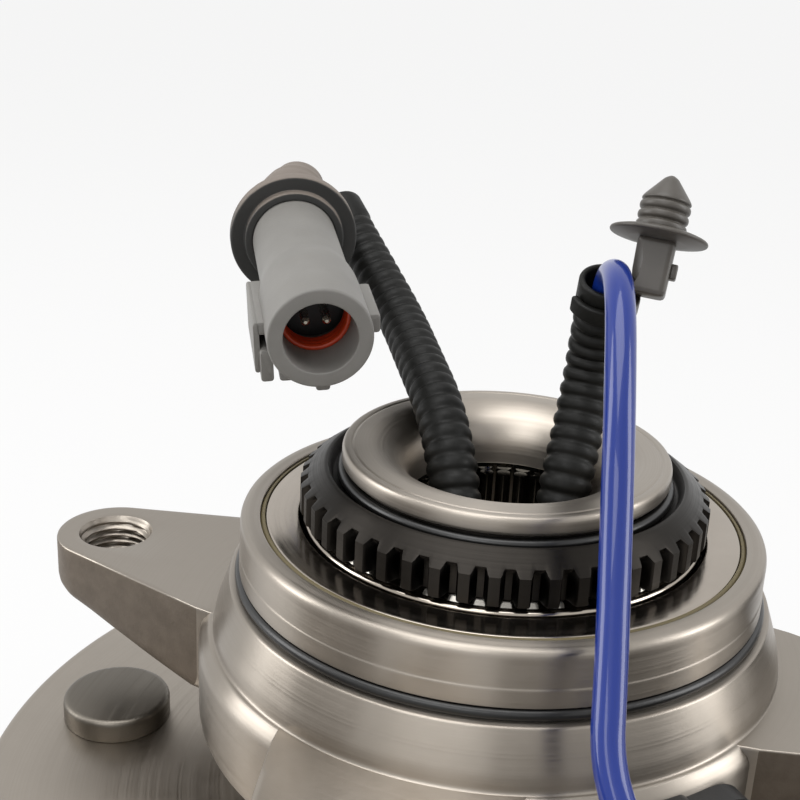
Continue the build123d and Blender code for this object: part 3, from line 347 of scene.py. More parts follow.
def turned_steel(name, colour, low, high, streak, brushed=0.85):
    """Turned or ground steel: fine rings that follow the tool, read from the height and the distance to the
    axis, and slow stains; low and high are the roughness between them. The rings draw its highlights out."""
    made, tree, shader = material(name, colour, 1.0, 0.3, Anisotropic=brushed, Anisotropic_Rotation=0.25)
    about = add(tree, "ShaderNodeTangent", direction_type="RADIAL", axis="Z")
    tree.links.new(about.outputs["Tangent"], shader.inputs["Tangent"])
    where = add(tree, "ShaderNodeTexCoord")
    axes = add(tree, "ShaderNodeSeparateXYZ", {"Vector": where.outputs["Object"]})
    flat = add(tree, "ShaderNodeCombineXYZ", {"X": axes.outputs["X"], "Y": axes.outputs["Y"]})
    radius = add(tree, "ShaderNodeVectorMath", {0: flat.outputs["Vector"]}, operation="LENGTH")
    tool = add(tree, "ShaderNodeCombineXYZ", {"X": radius.outputs["Value"], "Y": axes.outputs["Z"]})
    # tool marks 0.1 mm apart, drawn 0.35 mm apart so that they show
    rings = add(tree, "ShaderNodeTexNoise", {"Vector": tool.outputs["Vector"], "Scale": 2800.0, "Detail": 2.0})
    stain = add(tree, "ShaderNodeTexNoise", {"Vector": where.outputs["Object"], "Scale": 45.0, "Detail": 5.0,
                                             "Roughness": 0.6})
    mixed = add(tree, "ShaderNodeMath", {0: rings.outputs["Fac"], 1: stain.outputs["Fac"]}, operation="ADD")
    rough = add(tree, "ShaderNodeMapRange", {"Value": mixed.outputs["Value"], "From Min": 0.75,
                                             "From Max": 1.25, "To Min": low, "To Max": high})
    tree.links.new(rough.outputs["Result"], shader.inputs["Roughness"])
    base = np.array(linear(colour))
    dark, pale = tuple(base * [0.82, 0.80, 0.76, 1]), tuple(np.minimum(base * [1.15, 1.13, 1.1, 1], 1))
    tint = add(tree, "ShaderNodeMix", {"Factor": stain.outputs["Fac"], "A": dark, "B": pale}, data_type="RGBA")
    tree.links.new(tint.outputs["Result"], shader.inputs["Base Color"])
    grooves = add(tree, "ShaderNodeBump", {"Height": rings.outputs["Fac"], "Strength": streak,
                                           "Distance": 0.00004})
    tree.links.new(grooves.outputs["Normal"], shader.inputs["Normal"])
    return made, tree, shader


def by_place(obj, stuff, chosen):
    """Gives a second material to the faces whose middles (x, y, z) in metres the test picks."""
    mesh = obj.data
    middles = np.zeros(len(mesh.polygons) * 3)
    mesh.polygons.foreach_get("center", middles)
    mesh.materials.append(stuff)
    mesh.polygons.foreach_set("material_index", chosen(middles.reshape(-1, 3)).astype(np.int32))


machined, tree, shader = turned_steel("turned_forged_steel", "#9A948D", 0.28, 0.42, 0.25)
place(outer, machined, "knuckle_side", "outer_ring")
FORGED = "#6F665C"
forged, tree, shader = material("shot_blasted_forging", FORGED, 0.75, 0.55)
where = add(tree, "ShaderNodeTexCoord")
scale_of = add(tree, "ShaderNodeTexNoise", {"Vector": where.outputs["Object"], "Scale": 260.0, "Detail": 5.0,
                                            "Roughness": 0.6})
base = np.array(linear(FORGED))
tint = add(tree, "ShaderNodeMix", {"Factor": scale_of.outputs["Fac"], "A": tuple(base * [0.66, 0.64, 0.62, 1]),
                                   "B": tuple(base * [1.35, 1.35, 1.35, 1])}, data_type="RGBA")
tree.links.new(tint.outputs["Result"], shader.inputs["Base Color"])
# peened skin, about 0.6 mm between dents
dents = add(tree, "ShaderNodeTexNoise", {"Vector": where.outputs["Object"], "Scale": 1600.0, "Detail": 3.0})
skin = add(tree, "ShaderNodeBump", {"Height": dents.outputs["Fac"], "Strength": 0.5, "Distance": 0.00012})
tree.links.new(skin.outputs["Normal"], shader.inputs["Normal"])


def rough_side(middles):
    """True for the lobes' sides and undersides: off the round body, under the milled top and off the holes."""
    x, y, z = middles.T
    holes = [np.hypot(x - LOBE_AT * c, y - LOBE_AT * d) for c, d in ((1, 0), (0, 1), (-1, 0), (0, -1))]
    return ((z < -0.4 * MM) & (z > -20 * MM) & (np.hypot(x, y) > 53.75 * MM)
            & (np.min(holes, 0) > THREAD_R + 1 * MM))


by_place(outer, forged, rough_side)

# ---------------------------------------------------------------- pilot O-ring
# Black nitrile cord ring in the groove above the shoulder, lightly oiled.
nitrile, tree, shader = material("black_nitrile_rubber", "#0E0E0E", 0.0, 0.32)
where = add(tree, "ShaderNodeTexCoord")
grain = add(tree, "ShaderNodeTexNoise", {"Vector": where.outputs["Object"], "Scale": 1200.0, "Detail": 2.0})
skin = add(tree, "ShaderNodeBump", {"Height": grain.outputs["Fac"], "Strength": 0.15, "Distance": 0.0001})
tree.links.new(skin.outputs["Normal"], shader.inputs["Normal"])


def hoop(centre_r, z, wire_r):
    """A torus outline: a circle of the wire's radius about (centre, z)."""
    a = np.linspace(0, 2 * np.pi, 20, endpoint=False)
    return np.stack([centre_r + wire_r * np.cos(a), z + wire_r * np.sin(a)], 1) * MM


place(lathe("pilot_ring_cord", hoop(46.3, 10.8, 0.95), 256), nitrile, "knuckle_side",
      "pilot_o_ring")

# ---------------------------------------------------------------- inboard seal
# Cassette seal: a bright pressed plate, its olive rubber edge in the outer ring, and the
# rolled rim of the slinger that turns with the inner ring.
PLATE = [(36.1, 20.5), (36.1, 21.3), (41.95, 21.3), (41.95, 14.6), (41.15, 14.6), (41.15, 20.5)]
plate_steel, tree, shader = turned_steel("bright_pressed_steel", "#A69F97", 0.12, 0.22, 0.06, 0.4)
place(lathe("seal_plate", rounded(PLATE, [0.2, 0.2, 0.5, 0.2, 0.2, 0.4], 5, closed=True)), plate_steel,
      "knuckle_side", "inboard_seal_case")
EDGE = [(41.97, 14.6), (42.85, 14.6), (42.85, 20.8), (42.5, 21.35), (41.97, 21.42)]
olive, tree, shader = material("olive_moulded_rubber", "#5F5538", 0.0, 0.55)
where = add(tree, "ShaderNodeTexCoord")
grain = add(tree, "ShaderNodeTexNoise", {"Vector": where.outputs["Object"], "Scale": 400.0, "Detail": 4.0})
skin = add(tree, "ShaderNodeBump", {"Height": grain.outputs["Fac"], "Strength": 0.3, "Distance": 0.0002})
tree.links.new(skin.outputs["Normal"], shader.inputs["Normal"])
place(lathe("seal_edge", rounded(EDGE, [0.1, 0.1, 0.2, 0.3, 0.1], 4, closed=True)), olive, "knuckle_side",
      "inboard_seal_rubber")
RIM = [(33.42, 17.0), (38.3, 17.0), (38.3, 17.7), (35.3, 17.7), (35.3, 21.3), (34.95, 21.65), (34.6, 21.65),
       (34.25, 21.3), (33.42, 20.7)]
RIM_ROUND = [0.1, 0.2, 0.2, 0.3, 0.3, 0.2, 0.2, 0.2, 0.1]
place(lathe("slinger_rim", rounded(RIM, RIM_ROUND, 4, closed=True)), plate_steel, "hub",
      "inboard_slinger")

# ---------------------------------------------------------------- clutch gear
# Dog-clutch ring of the four-wheel drive: 48 teeth hobbed in case-hardened steel, their
# inboard ends turned to a cone. Dark from heat treatment and thinly oiled.
TEETH = 48
TIP_R, ROOT_R = 35.9, 33.1
# the cone falls from the neck to the tips, and the gaps run out into it at GAP_R
NECK_R, NECK_Z, TIP_Z = 31.8, 31.0, 27.9
GAP_R, GAP_Z = 34.7, 26.2


def cone_z(r):
    """Height of the cone at a radius, on the straight line from the neck to the tooth tips."""
    return NECK_Z - (r - NECK_R) * (NECK_Z - TIP_Z) / (TIP_R - NECK_R)


def gear_grid():
    """Columns run round the ring. A tooth's height is a trapezium of the turn with rounded corners. Each column
    climbs at its radius rb, runs out by r = rb + 2 (r_end - rb)(1 - cos a) and
    z = z0 + (z_end - z0) sin a / sin 60 until a is nearly 60 degrees, and goes up the cone to the neck."""
    columns = TEETH * 16
    phase = np.arange(columns) / 16.0
    off = np.abs((phase + 0.5) % 1.0 - 0.5)
    height = np.clip((0.35 - off) / (0.35 - 0.21), 0, 1)
    height = height * height * (3 - 2 * height)
    tooth_r = ROOT_R + (TIP_R - ROOT_R) * height
    one = np.ones(columns)
    end_r = np.maximum(tooth_r, GAP_R)
    end_z = cone_z(end_r)
    rows = [(24.55 * one, 22.2 * one), (32.2 * one, 22.2 * one), (32.2 * one, 22.7 * one),
            (tooth_r - 0.5 * height, 22.7 * one), (tooth_r - 0.15 * height, 22.8 * one),
            (tooth_r, 23.2 * one)]
    for z in (24.2, 25.3, GAP_Z):
        rows.append((tooth_r, z * one))
    for a in np.radians([8, 18, 28, 37, 45, 52, 57]):
        rise = math.sin(a) / math.sin(math.pi / 3)
        rows.append((tooth_r + (end_r - tooth_r) * 2 * (1 - math.cos(a)), GAP_Z + (end_z - GAP_Z) * rise))
    rows.append((end_r - 0.1, end_z + 0.02))
    rows.append((end_r - 0.4, end_z + 0.28))
    for share in (0.35, 0.7, 1.0):
        r = end_r - 0.4 + share * (32.0 - end_r + 0.4)
        rows.append((r, cone_z(r)))
    for r, z in ((31.6, 31.0), (31.2, 30.9), (30.7, 30.2), (30.4, 29.2), (30.1, 29.0), (27.7, 29.0),
                 (27.6, 29.1), (27.6, 31.25), (24.55, 31.25)):
        rows.append((r * one, z * one))
    r, z = np.array([a for a, b in rows]) * MM, np.array([b for a, b in rows]) * MM
    turn = phase / TEETH * 2 * np.pi
    return np.stack([r * np.cos(turn), r * np.sin(turn), z], -1)


gear_steel, tree, shader = turned_steel("oiled_case_hardened_steel", "#2E2C2A", 0.3, 0.5, 0.2)
place(surface("clutch_gear_teeth", gear_grid(), wrap_rows=True, sharp_deg=40), gear_steel, "hub",
      "clutch_gear")
place(lathe("gear_ring_cord", hoop(28.6, 30.0, 0.95), 200), nitrile, "hub", "gear_o_ring")

# ---------------------------------------------------------------- spindle and wheel flange
# One forging: its inboard end is orbitally rolled over the gear into a bright lip, the bore
# is turned, and the wheel flange is faced, with two pilots and a forged dish under it.
HUB_OUTLINE = [
    (37.6, -59.4), (37.6, -46.0), (28.1, -30.0), (24.1, -18.0), (19.5, -8.0), (19.5, 24.2), (16.6, 24.2),
    (16.6, 26.6), (17.0, 29.0), (18.1, 31.2), (20.0, 33.1), (22.0, 34.1), (23.8, 34.6), (26.7, 34.6),
    (27.0, 34.45), (27.3, 34.6), (28.8, 34.6), (28.8, 31.9), (28.2, 31.3), (24.5, 31.3), (24.5, -4.0),
    (28.8, -4.0), (28.8, -20.0), (33.4, -26.0), (33.4, -30.8), (38.5, -32.3), (41.5, -34.4), (95.0, -34.4),
    (95.0, -45.4), (46.5, -45.4), (46.5, -51.4), (43.5, -51.4), (43.5, -59.4)]
HUB_ROUND = [0.8, 3.0, 4.0, 4.0, 3.0, 0.3, 0.4, 1.0, 1.2, 1.2, 1.2, 1.0, 1.0, 0.2, 0.2, 0.2, 1.3, 0.3, 0.3,
             0.2, 0.2, 0.2, 2.0, 2.0, 0.3, 1.0, 2.0, 1.5, 1.5, 0.3, 0.6, 0.3, 1.5]
spindle = lathe("spindle_forging", rounded(HUB_OUTLINE, HUB_ROUND, 6, closed=True), 320, sharp_deg=30)
rolled, tree, shader = turned_steel("rolled_and_faced_steel", "#A09A93", 0.3, 0.46, 0.2, 0.6)
place(spindle, rolled, "hub", "wheel_hub")

# ---------------------------------------------------------------- wheel studs
# Seven M14 studs pressed through the flange, cold-headed, rolled thread, dark zinc plated.
STUD_TURN = -171.0
STUD_COUNT = 7
STUD_AT = 75.0
STUD_R = 7.0


def stud(turn_deg):
    """A stud: its outline carried round its own axis, with a helical thread below the flange."""
    outline = rounded([(0.01, -29.8), (10.6, -29.8), (10.6, -34.4), (7.4, -34.4), (7.4, -45.7),
                       (STUD_R, -45.9)],
                      [0, 1.3, 0.2, 0.2, 0.1, 0], 5) / MM
    z = np.linspace(-46.0, -87.6, 180)
    end = np.array([(6.0, -88.4), (5.7, -88.9), (5.6, -90.8), (5.1, -91.35), (0.01, -91.4)])
    r_plain = np.concatenate([outline[:, 0], np.full(len(z), STUD_R), end[:, 0]])
    z_all = np.concatenate([outline[:, 1], z, end[:, 1]])
    fades = np.clip((-46.4 - z) / 2, 0, 1) * np.clip((z + 87.6) / 2, 0, 1)
    strength = np.concatenate([0 * outline[:, 0], fades, 0 * end[:, 0]])
    theta = np.linspace(0, 2 * np.pi, 40, endpoint=False)
    r = r_plain[:, None] - 0.8 * strength[:, None] * (1 - thread(z_all[:, None] * MM / THREAD_PITCH
                                                                     - theta / (2 * np.pi)))
    a = math.radians(turn_deg)
    points = np.stack([STUD_AT * math.cos(a) + r * np.cos(theta), STUD_AT * math.sin(a) + r * np.sin(theta),
                       z_all[:, None] + 0 * theta], -1) * MM
    return surface(f"stud_{round(turn_deg)}", points[::-1])


plated, tree, shader = turned_steel("zinc_plated_stud_steel", "#6B6761", 0.28, 0.5, 0.1, 0.0)
stud_set = join("wheel_stud_set", [stud(STUD_TURN + 360 / STUD_COUNT * i) for i in range(STUD_COUNT)])
place(stud_set, plated, "hub", "wheel_studs")

# ---------------------------------------------------------------- connector
# Two-pin sensor connector moulded in grey glass-filled nylon: a round shell with a neck,
# guide ribs for its mate below, an orange silicone seal and two tinned pins.
CONN_MOUTH = np.array([-27.5, -19.3, 55.5]) * MM
CONN_OUT = np.array([0.515, -0.850, -0.112])
CONN_OUT = CONN_OUT / np.linalg.norm(CONN_OUT)
CONN_SIDE = np.array([0.857, 0.511, 0.066])
CONN_SIDE = CONN_SIDE - CONN_SIDE.dot(CONN_OUT) * CONN_OUT
CONN_SIDE = CONN_SIDE / np.linalg.norm(CONN_SIDE)
CONN_UP = np.cross(CONN_OUT, CONN_SIDE)


def settle(obj, origin, side, up, out):
    """Turns a piece made about its own axes into place: p = origin + x side + y up + z out."""
    frame_of = Matrix([(side[i], up[i], out[i], origin[i]) for i in range(3)] + [(0, 0, 0, 1)])
    obj.data.transform(frame_of)
    return obj


def bar(name, x0, x1, y0, y1, z0, z1, edge=0.4, rows=2):
    """A moulded bar: a section with rounded corners, drawn in at both ends by the edge radius."""
    section = rounded([(x0, y0), (x1, y0), (x1, y1), (x0, y1)], edge * 1.5, 4, closed=True)
    if rows > 2:
        rim = np.vstack([section, section[:1]])
        walked = np.concatenate([[0], np.cumsum(np.linalg.norm(np.diff(rim, axis=0), axis=1))])
        every = np.linspace(0, walked[-1], 4 * rows, endpoint=False)
        section = np.stack([np.interp(every, walked, rim[:, k]) for k in (0, 1)], 1)
    middle_of = section.mean(0)
    depth = np.concatenate([[z0, z0, z0 + edge * 0.3], np.linspace(z0 + edge, z1 - edge, rows),
                            [z1 - edge * 0.3, z1, z1]]) * MM
    inset = np.concatenate([[0.002, 1 - 0.35, 1 - 0.12], np.ones(rows), [1 - 0.12, 1 - 0.35, 0.002]])
    size = np.minimum(x1 - x0, y1 - y0) * MM
    away = section - middle_of
    shrink = 1 - (1 - inset[:, None]) * edge * MM * 2 / np.maximum(np.abs(away), size / 2).max(1)[None, :]
    shrink[0], shrink[-1] = 0.002, 0.002
    points = np.concatenate([middle_of + away[None] * shrink[:, :, None],
                             np.broadcast_to(depth[:, None, None], (len(depth), len(section), 1))], -1)
    return surface(name, points, sharp_deg=35)


SHELL = [(0.01, -50.0), (8.05, -50.0), (8.05, -24.0), (8.8, -19.0), (8.9, -17.0), (8.9, 0.0), (6.26, 0.0),
         (6.26, -20.0), (0.01, -20.0)]
shell = lathe("shell", rounded(SHELL, [0, 0.5, 3.0, 2.0, 1.0, 0.55, 0.3, 0.3, 0], 6), 128, closed=False)
# each bar: x, y and z from and to, in the connector's own axes
BARS = {
    "side_panel": (-10.7, -9.7, -8.6, 0.8, -25.0, -6.5), "side_web": (-10.2, -6.5, -1.6, 0.8, -25.0, -6.5),
    "rail_near": (-9.8, -7.6, -9.9, -4.0, -24.5, -5.5), "rail_block": (-6.6, -1.0, -10.5, -6.5, -26.0, -6.5),
    "rail_far": (-0.6, 1.9, -12.1, -7.5, -24.0, -5.0), "side_tab": (7.0, 11.1, -3.3, 0.2, -22.0, -8.0)}
ribs_below = [bar(name, *spans) for name, spans in BARS.items()]
housing = settle(join("connector_shell", [shell] + ribs_below), CONN_MOUTH, CONN_SIDE, CONN_UP, CONN_OUT)
HOUSING_GREY = "#7F7D79"
grey_nylon, tree, shader = material("grey_glass_filled_nylon", HOUSING_GREY, 0.0, 0.5, Specular_IOR_Level=0.4)
where = add(tree, "ShaderNodeTexCoord")
flow = add(tree, "ShaderNodeTexNoise", {"Vector": where.outputs["Object"], "Scale": 160.0, "Detail": 5.0})
base = np.array(linear(HOUSING_GREY))
tint = add(tree, "ShaderNodeMix", {"Factor": flow.outputs["Fac"], "A": tuple(base * [0.86, 0.86, 0.86, 1]),
                                   "B": tuple(base * [1.12, 1.12, 1.13, 1])}, data_type="RGBA")
tree.links.new(tint.outputs["Result"], shader.inputs["Base Color"])
# moulded skin with a 0.5 mm grain
grain = add(tree, "ShaderNodeTexNoise", {"Vector": where.outputs["Object"], "Scale": 2000.0, "Detail": 3.0})
skin = add(tree, "ShaderNodeBump", {"Height": grain.outputs["Fac"], "Strength": 0.22, "Distance": 0.00008})
tree.links.new(skin.outputs["Normal"], shader.inputs["Normal"])
place(housing, grey_nylon, "knuckle_side", "connector_housing")

SEAL = [(6.24, -13.0), (6.24, -9.0), (5.6, -9.0), (5.35, -9.5), (5.35, -9.9), (5.65, -10.3), (5.35, -10.8),
        (5.35, -11.2), (5.65, -11.6), (5.35, -12.1), (5.35, -12.5), (5.6, -13.0)]
orange, tree, shader = material("orange_silicone", "#D2431C", 0.0, 0.35)
where = add(tree, "ShaderNodeTexCoord")
grain = add(tree, "ShaderNodeTexNoise", {"Vector": where.outputs["Object"], "Scale": 900.0})
skin = add(tree, "ShaderNodeBump", {"Height": grain.outputs["Fac"], "Strength": 0.1, "Distance": 0.0001})
tree.links.new(skin.outputs["Normal"], shader.inputs["Normal"])
ring_seal = lathe("mouth_seal", rounded(SEAL, 0.25, 4, closed=True), 96)
place(settle(ring_seal, CONN_MOUTH, CONN_SIDE, CONN_UP, CONN_OUT), orange, "knuckle_side",
      "connector_seal")

# ---------------------------------------------------------------- grommet
# Rubber grommet on the connector's neck: a flat flange that seals in sheet metal, a collar in
# front of it, and a boot that bends and narrows to the lead. Paler where it faces up: partly dust
# and partly a painted sheen of the light from above.
GROMMET = [(8.1, -52.2), (10.0, -52.2), (12.3, -49.9), (12.3, -47.0), (9.6, -47.3), (9.55, -45.7),
           (8.1, -45.65)]
flange = lathe("grommet_flange", rounded(GROMMET, [0.3, 0.8, 0.6, 0.5, 0.3, 0.3, 0.3], 6, closed=True), 128)
settle(flange, CONN_MOUTH, CONN_SIDE, CONN_UP, CONN_OUT)
boot_start = CONN_MOUTH - 51.0 * MM * CONN_OUT
BOOT_LINE = [boot_start / MM, boot_start / MM - 4 * CONN_OUT, (-57.4, 31.0, 65.0), (-59.3, 38.8, 67.6)]
boot_middle = line_of(BOOT_LINE)
boot_len = np.linalg.norm(np.diff(boot_middle, axis=0), axis=1).sum()
share = np.array([0, 0, 0.06, 0.12, 0.2, 0.3, 0.4, 0.5, 0.6, 0.68, 0.71, 0.76, 0.8, 0.86, 0.9, 0.95,
                  0.99, 1, 1])
boot_r = np.array([0.01, 9.9, 9.8, 9.6, 9.2, 8.7, 8.2, 7.8, 7.3, 6.9, 6.5, 6.5, 6.2, 5.7, 5.5, 5.3, 5.1, 4.7,
                   0.01]) * MM
boot_rings = along_line(boot_middle, share * boot_len, boot_r, 72, still=(0, 0, 1))
boot = surface("grommet_boot", boot_rings, sharp_deg=60)
rubber, tree, shader = material("grommet_rubber_dust_and_painted_sheen", "#35363A", 0.0, 0.62)
where = add(tree, "ShaderNodeTexCoord")
bloom = add(tree, "ShaderNodeTexNoise", {"Vector": where.outputs["Object"], "Scale": 220.0, "Detail": 6.0,
                                         "Roughness": 0.65})
# painted sheen: faces that turn up are mixed towards pale beige, partly dust and partly the top light painted
# into the colour
facing = add(tree, "ShaderNodeSeparateXYZ", {"Vector": where.outputs["Normal"]})
facing_up_and_bloom = add(tree, "ShaderNodeMath", {0: facing.outputs["Z"], 1: bloom.outputs["Fac"]}, operation="ADD")
dust_and_painted_sheen = add(tree, "ShaderNodeMapRange", {"Value": facing_up_and_bloom.outputs["Value"], "From Min": 0.55, "From Max": 1.15})
tint = add(tree, "ShaderNodeMix", {"Factor": dust_and_painted_sheen.outputs["Result"], "A": linear("#2C2C2B"),
                                   "B": linear("#776E66")}, data_type="RGBA")
tree.links.new(tint.outputs["Result"], shader.inputs["Base Color"])
skin = add(tree, "ShaderNodeBump", {"Height": bloom.outputs["Fac"], "Strength": 0.25, "Distance": 0.0002})
tree.links.new(skin.outputs["Normal"], shader.inputs["Normal"])
place(join("grommet_moulding", [flange, boot]), rubber, "knuckle_side", "grommet")

# ---------------------------------------------------------------- clip
# Push-in fir-tree clip moulded in grey acetal: a pointed stem with three low ribs over a
# dished disc, and a block whose open ring snaps on the conduit's cuff.
CLIP_AT = np.array([20.2, 10.9, 72.3]) * MM
CLIP_UP = np.array([0.040, 0.412, 0.911]) / np.linalg.norm([0.040, 0.412, 0.911])
CLIP_SIDE = np.array([0.991, 0.102, -0.090])
CLIP_SIDE = CLIP_SIDE - CLIP_SIDE.dot(CLIP_UP) * CLIP_UP
CLIP_SIDE = CLIP_SIDE / np.linalg.norm(CLIP_SIDE)
CLIP_BACK = np.cross(CLIP_UP, CLIP_SIDE)
CUFF_SEAT_R = 4.85
BAND_THICK = 1.2
BAND_HALF = 1.5
CLIP_GREY = "#4C4843"
stem = [(0.01, -0.5), (5.0, -0.5), (8.3, 0.0), (8.3, 0.6), (6.8, 1.1), (3.95, 1.1)]
for i in range(3):
    stem += [(4.3, 1.5 + 1.65 * i), (4.3, 2.4 + 1.65 * i), (3.75, 2.75 + 1.65 * i)]
stem += [(4.3, 6.3), (3.9, 7.0), (1.2, 10.3), (0.4, 10.8), (0.01, 10.85)]
stem_piece = lathe("stem", rounded(stem, 0.4, 5), 96, closed=False)
block_piece = bar("block", -3.2, 3.2, -3.0, 3.0, -9.8, -0.3, 0.7, 28)
nub = bar("nub", 3.0, 4.3, -1.4, 1.4, -6.4, -3.9, 0.3)
for piece in (stem_piece, block_piece, nub):
    settle(piece, CLIP_AT, CLIP_SIDE, CLIP_BACK, CLIP_UP)
cuff_end, cuff_foot = np.array(CONDUIT_ROUTE[0]), np.array(CONDUIT_ROUTE[1])
cuff_run = (cuff_end - cuff_foot) / np.linalg.norm(cuff_end - cuff_foot)
ring_middle = (cuff_end + 2.0 * cuff_run) * MM


def seat(obj, middle_of, run, radius):
    """Presses a round seat into a piece: a point nearer to the line than the radius moves out to it."""
    mesh = obj.data
    at = np.zeros(len(mesh.vertices) * 3)
    mesh.vertices.foreach_get("co", at)
    away = at.reshape(-1, 3) - middle_of
    along = (away @ run)[:, None] * run
    out = away - along
    far = np.linalg.norm(out, axis=1, keepdims=True)
    held = middle_of + along + out * np.maximum(radius / np.maximum(far, 1e-9), 1.0)
    mesh.vertices.foreach_set("co", held.reshape(-1).astype(np.float32))
    mesh.update()


seat(block_piece, ring_middle, cuff_run, CUFF_SEAT_R * MM)
to_block = CLIP_AT - 9.8 * MM * CLIP_UP - ring_middle
to_block = to_block - to_block.dot(cuff_run) * cuff_run
to_block = to_block / np.linalg.norm(to_block)
outer_r = CUFF_SEAT_R + BAND_THICK
section = rounded([(CUFF_SEAT_R, -BAND_HALF), (CUFF_SEAT_R, BAND_HALF), (outer_r, BAND_HALF),
                   (outer_r, -BAND_HALF)], 0.4, 5, closed=True)
opened = np.radians(np.concatenate([[-140], np.linspace(-140, 40, 40), [40]]))
size = np.concatenate([[0.01], np.ones(40), [0.01]])[:, None, None]
ends = section.mean(0) + (section - section.mean(0))[None] * size
around, reach = opened[:, None], ends[:, :, 0]
band = surface("band", np.stack([reach * np.cos(around), reach * np.sin(around), ends[:, :, 1]], -1))
settle(band, ring_middle, to_block, np.cross(cuff_run, to_block), cuff_run)
acetal, tree, shader = material("grey_moulded_acetal", CLIP_GREY, 0.0, 0.42, Specular_IOR_Level=0.45)
where = add(tree, "ShaderNodeTexCoord")
flow = add(tree, "ShaderNodeTexNoise", {"Vector": where.outputs["Object"], "Scale": 300.0, "Detail": 4.0})
base = np.array(linear(CLIP_GREY))
tint = add(tree, "ShaderNodeMix", {"Factor": flow.outputs["Fac"], "A": tuple(base * [0.85, 0.85, 0.85, 1]),
                                   "B": tuple(base * [1.15, 1.15, 1.15, 1])}, data_type="RGBA")
tree.links.new(tint.outputs["Result"], shader.inputs["Base Color"])
skin = add(tree, "ShaderNodeBump", {"Height": flow.outputs["Fac"], "Strength": 0.1, "Distance": 0.0002})
tree.links.new(skin.outputs["Normal"], shader.inputs["Normal"])
clip = place(join("lead_clip", [stem_piece, block_piece, nub, band]), acetal, "knuckle_side",
             "fir_tree_clip")
by_place(clip, nylon, lambda m: (np.abs((m - ring_middle) @ cuff_run) < 1.6 * MM)
         & ((m - ring_middle) @ to_block < 3.0 * MM))

# ---------------------------------------------------------------- sensor and inner pieces
# The black moulded sensor and its plated screw, the terminal carrier and pins, and what the
# rings hide: ground balls and rollers, polyamide cages, the tone ring and the outboard seal.
black_nylon, tree, shader = material("black_moulded_nylon", "#1B1B1C", 0.0, 0.45)
where = add(tree, "ShaderNodeTexCoord")
grain = add(tree, "ShaderNodeTexNoise", {"Vector": where.outputs["Object"], "Scale": 1500.0, "Detail": 3.0})
skin = add(tree, "ShaderNodeBump", {"Height": grain.outputs["Fac"], "Strength": 0.2, "Distance": 0.0001})
tree.links.new(skin.outputs["Normal"], shader.inputs["Normal"])
polyamide, tree, shader = material("natural_polyamide", "#CDBB93", 0.0, 0.45)
where = add(tree, "ShaderNodeTexCoord")
cloud = add(tree, "ShaderNodeTexNoise", {"Vector": where.outputs["Object"], "Scale": 120.0, "Detail": 4.0})
tone = add(tree, "ShaderNodeMapRange", {"Value": cloud.outputs["Fac"], "To Min": 0.35, "To Max": 0.6})
tree.links.new(tone.outputs["Result"], shader.inputs["Roughness"])
tinned, tree, shader = material("tinned_brass", "#D8D4C8", 1.0, 0.22)
where = add(tree, "ShaderNodeTexCoord")
cloud = add(tree, "ShaderNodeTexNoise", {"Vector": where.outputs["Object"], "Scale": 1500.0, "Detail": 3.0})
tone = add(tree, "ShaderNodeMapRange", {"Value": cloud.outputs["Fac"], "To Min": 0.15, "To Max": 0.35})
tree.links.new(tone.outputs["Result"], shader.inputs["Roughness"])
ground, tree, shader = turned_steel("ground_bearing_steel", "#8E8C88", 0.08, 0.16, 0.03)
FINISHES = {"sensor_body": black_nylon, "connector_insert": black_nylon, "sensor_o_ring": nitrile,
            "outboard_seal": nitrile, "sensor_screw": plated, "connector_pins": tinned, "inner_ring": ground,
            "tone_ring": gear_steel, "needle_cup": ground, "needle_rollers": ground, "inboard_balls": ground,
            "outboard_balls": ground, "inboard_cage": polyamide, "outboard_cage": polyamide}
for node_name, finish in FINISHES.items():
    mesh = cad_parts[node_name].data
    mesh.materials.clear()
    mesh.materials.append(finish)

# ---------------------------------------------------------------- floor and light
# A white sweep under soft boxes: one above, a tall one at each side and one in front. Grey
# cards standing round the object give the turned steel its dark bands.
FLOOR_Z = -0.0914
CARD_R = 0.16
CARD_TOP = 0.02


def sheet_of(name, corners, stuff):
    """A flat four-cornered card or floor that isn't part of the object."""
    mesh = bpy.data.meshes.new(name)
    mesh.from_pydata(corners, [], [(0, 1, 2, 3)])
    made = bpy.data.objects.new(name, mesh)
    made.data.materials.append(stuff)
    bpy.context.scene.collection.objects.link(made)
    return made


def seen_white(tree, share):
    """A factor: the share for what the camera sees, straight on or in metal or glass, and 0 for light."""
    ray = add(tree, "ShaderNodeLightPath").outputs
    kind = "ShaderNodeMath"
    glossy = add(tree, kind, {0: ray["Is Camera Ray"], 1: ray["Is Glossy Ray"]}, operation="MAXIMUM")
    through = add(tree, kind, {0: glossy.outputs["Value"], 1: ray["Is Transmission Ray"]}, operation="MAXIMUM")
    return add(tree, kind, {0: through.outputs["Value"], 1: share}, operation="MULTIPLY").outputs["Value"]


paper = bpy.data.materials.new("white_sweep_paper")
paper.use_nodes = True
tree = paper.node_tree
shader = tree.nodes["Principled BSDF"]
shader.inputs["Base Color"].default_value = linear("#E8E8E8")
shader.inputs["Roughness"].default_value = 0.9
glow = add(tree, "ShaderNodeEmission", {"Color": (1, 1, 1, 1), "Strength": 1.0})
blend_of = add(tree, "ShaderNodeMixShader", {0: seen_white(tree, 0.88), 1: shader.outputs["BSDF"],
                                             2: glow.outputs["Emission"]})
tree.links.new(blend_of.outputs["Shader"], tree.nodes["Material Output"].inputs["Surface"])
sheet_of("floor", [(x, y, FLOOR_Z) for x, y in ((-4, -4), (4, -4), (4, 4), (-4, 4))], paper)

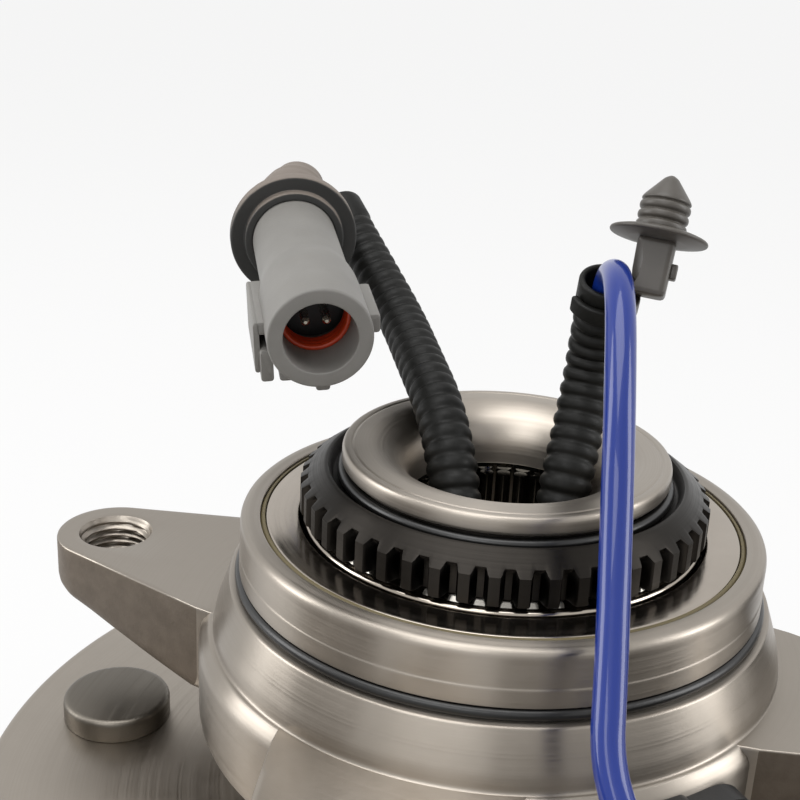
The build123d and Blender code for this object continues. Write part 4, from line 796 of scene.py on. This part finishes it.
world = bpy.data.worlds.new("studio")
bpy.context.scene.world = world
world.use_nodes = True
tree = world.node_tree
room = tree.nodes["Background"]
room.inputs["Color"].default_value = linear("#F4F1EC")
room.inputs["Strength"].default_value = 0.3
white = add(tree, "ShaderNodeBackground", {"Color": (1, 1, 1, 1), "Strength": 1.0})
seen = add(tree, "ShaderNodeMixShader", {0: seen_white(tree, 1.0), 1: room.outputs["Background"],
                                         2: white.outputs["Background"]})
tree.links.new(seen.outputs["Shader"], tree.nodes["World Output"].inputs["Surface"])


def softbox(name, at, target, width, height, watts):
    """A rectangular lamp aimed at a point."""
    lamp = bpy.data.lights.new(name, "AREA")
    lamp.shape = "RECTANGLE"
    lamp.size, lamp.size_y, lamp.energy = width, height, watts
    made = bpy.data.objects.new(name, lamp)
    made.location = at
    aim = np.array(target) - np.array(at)
    made.rotation_euler = Vector(aim).to_track_quat("-Z", "Y").to_euler()
    bpy.context.scene.collection.objects.link(made)


def card(name, from_deg, to_deg, shade):
    """A grey card standing on the floor beside the object, which only metal sees."""
    grey = bpy.data.materials.new(name)
    grey.use_nodes = True
    tree = grey.node_tree
    dull = add(tree, "ShaderNodeEmission", {"Color": linear(shade), "Strength": 1.0})
    tree.links.new(dull.outputs["Emission"], tree.nodes["Material Output"].inputs["Surface"])
    a, b = math.radians(from_deg), math.radians(to_deg)
    near, far = [(CARD_R * math.cos(t), CARD_R * math.sin(t)) for t in (a, b)]
    made = sheet_of(name, [(*near, FLOOR_Z), (*far, FLOOR_Z), (*far, CARD_TOP), (*near, CARD_TOP)], grey)
    made.visible_camera = made.visible_diffuse = made.visible_shadow = made.visible_transmission = False


softbox("top_box", (-0.10, -0.10, 0.80), (0, 0, 0), 0.6, 0.6, 4.0)
softbox("left_box", (-0.72, -0.21, 0.32), (0, 0, 0.02), 0.30, 0.6, 2.8)
softbox("front_box", (-0.05, -0.70, 0.55), (0, 0, 0.02), 0.45, 0.3, 1.5)
softbox("right_box", (0.73, 0.16, 0.32), (0, 0, 0.02), 0.30, 0.6, 2.8)
card("left_card", -152, -114, "#A09C98")
card("middle_card", -72, -36, "#98948F")
card("dark_card", -36, 0, "#504D4A")
card("right_card", 24, 46, "#5C5956")
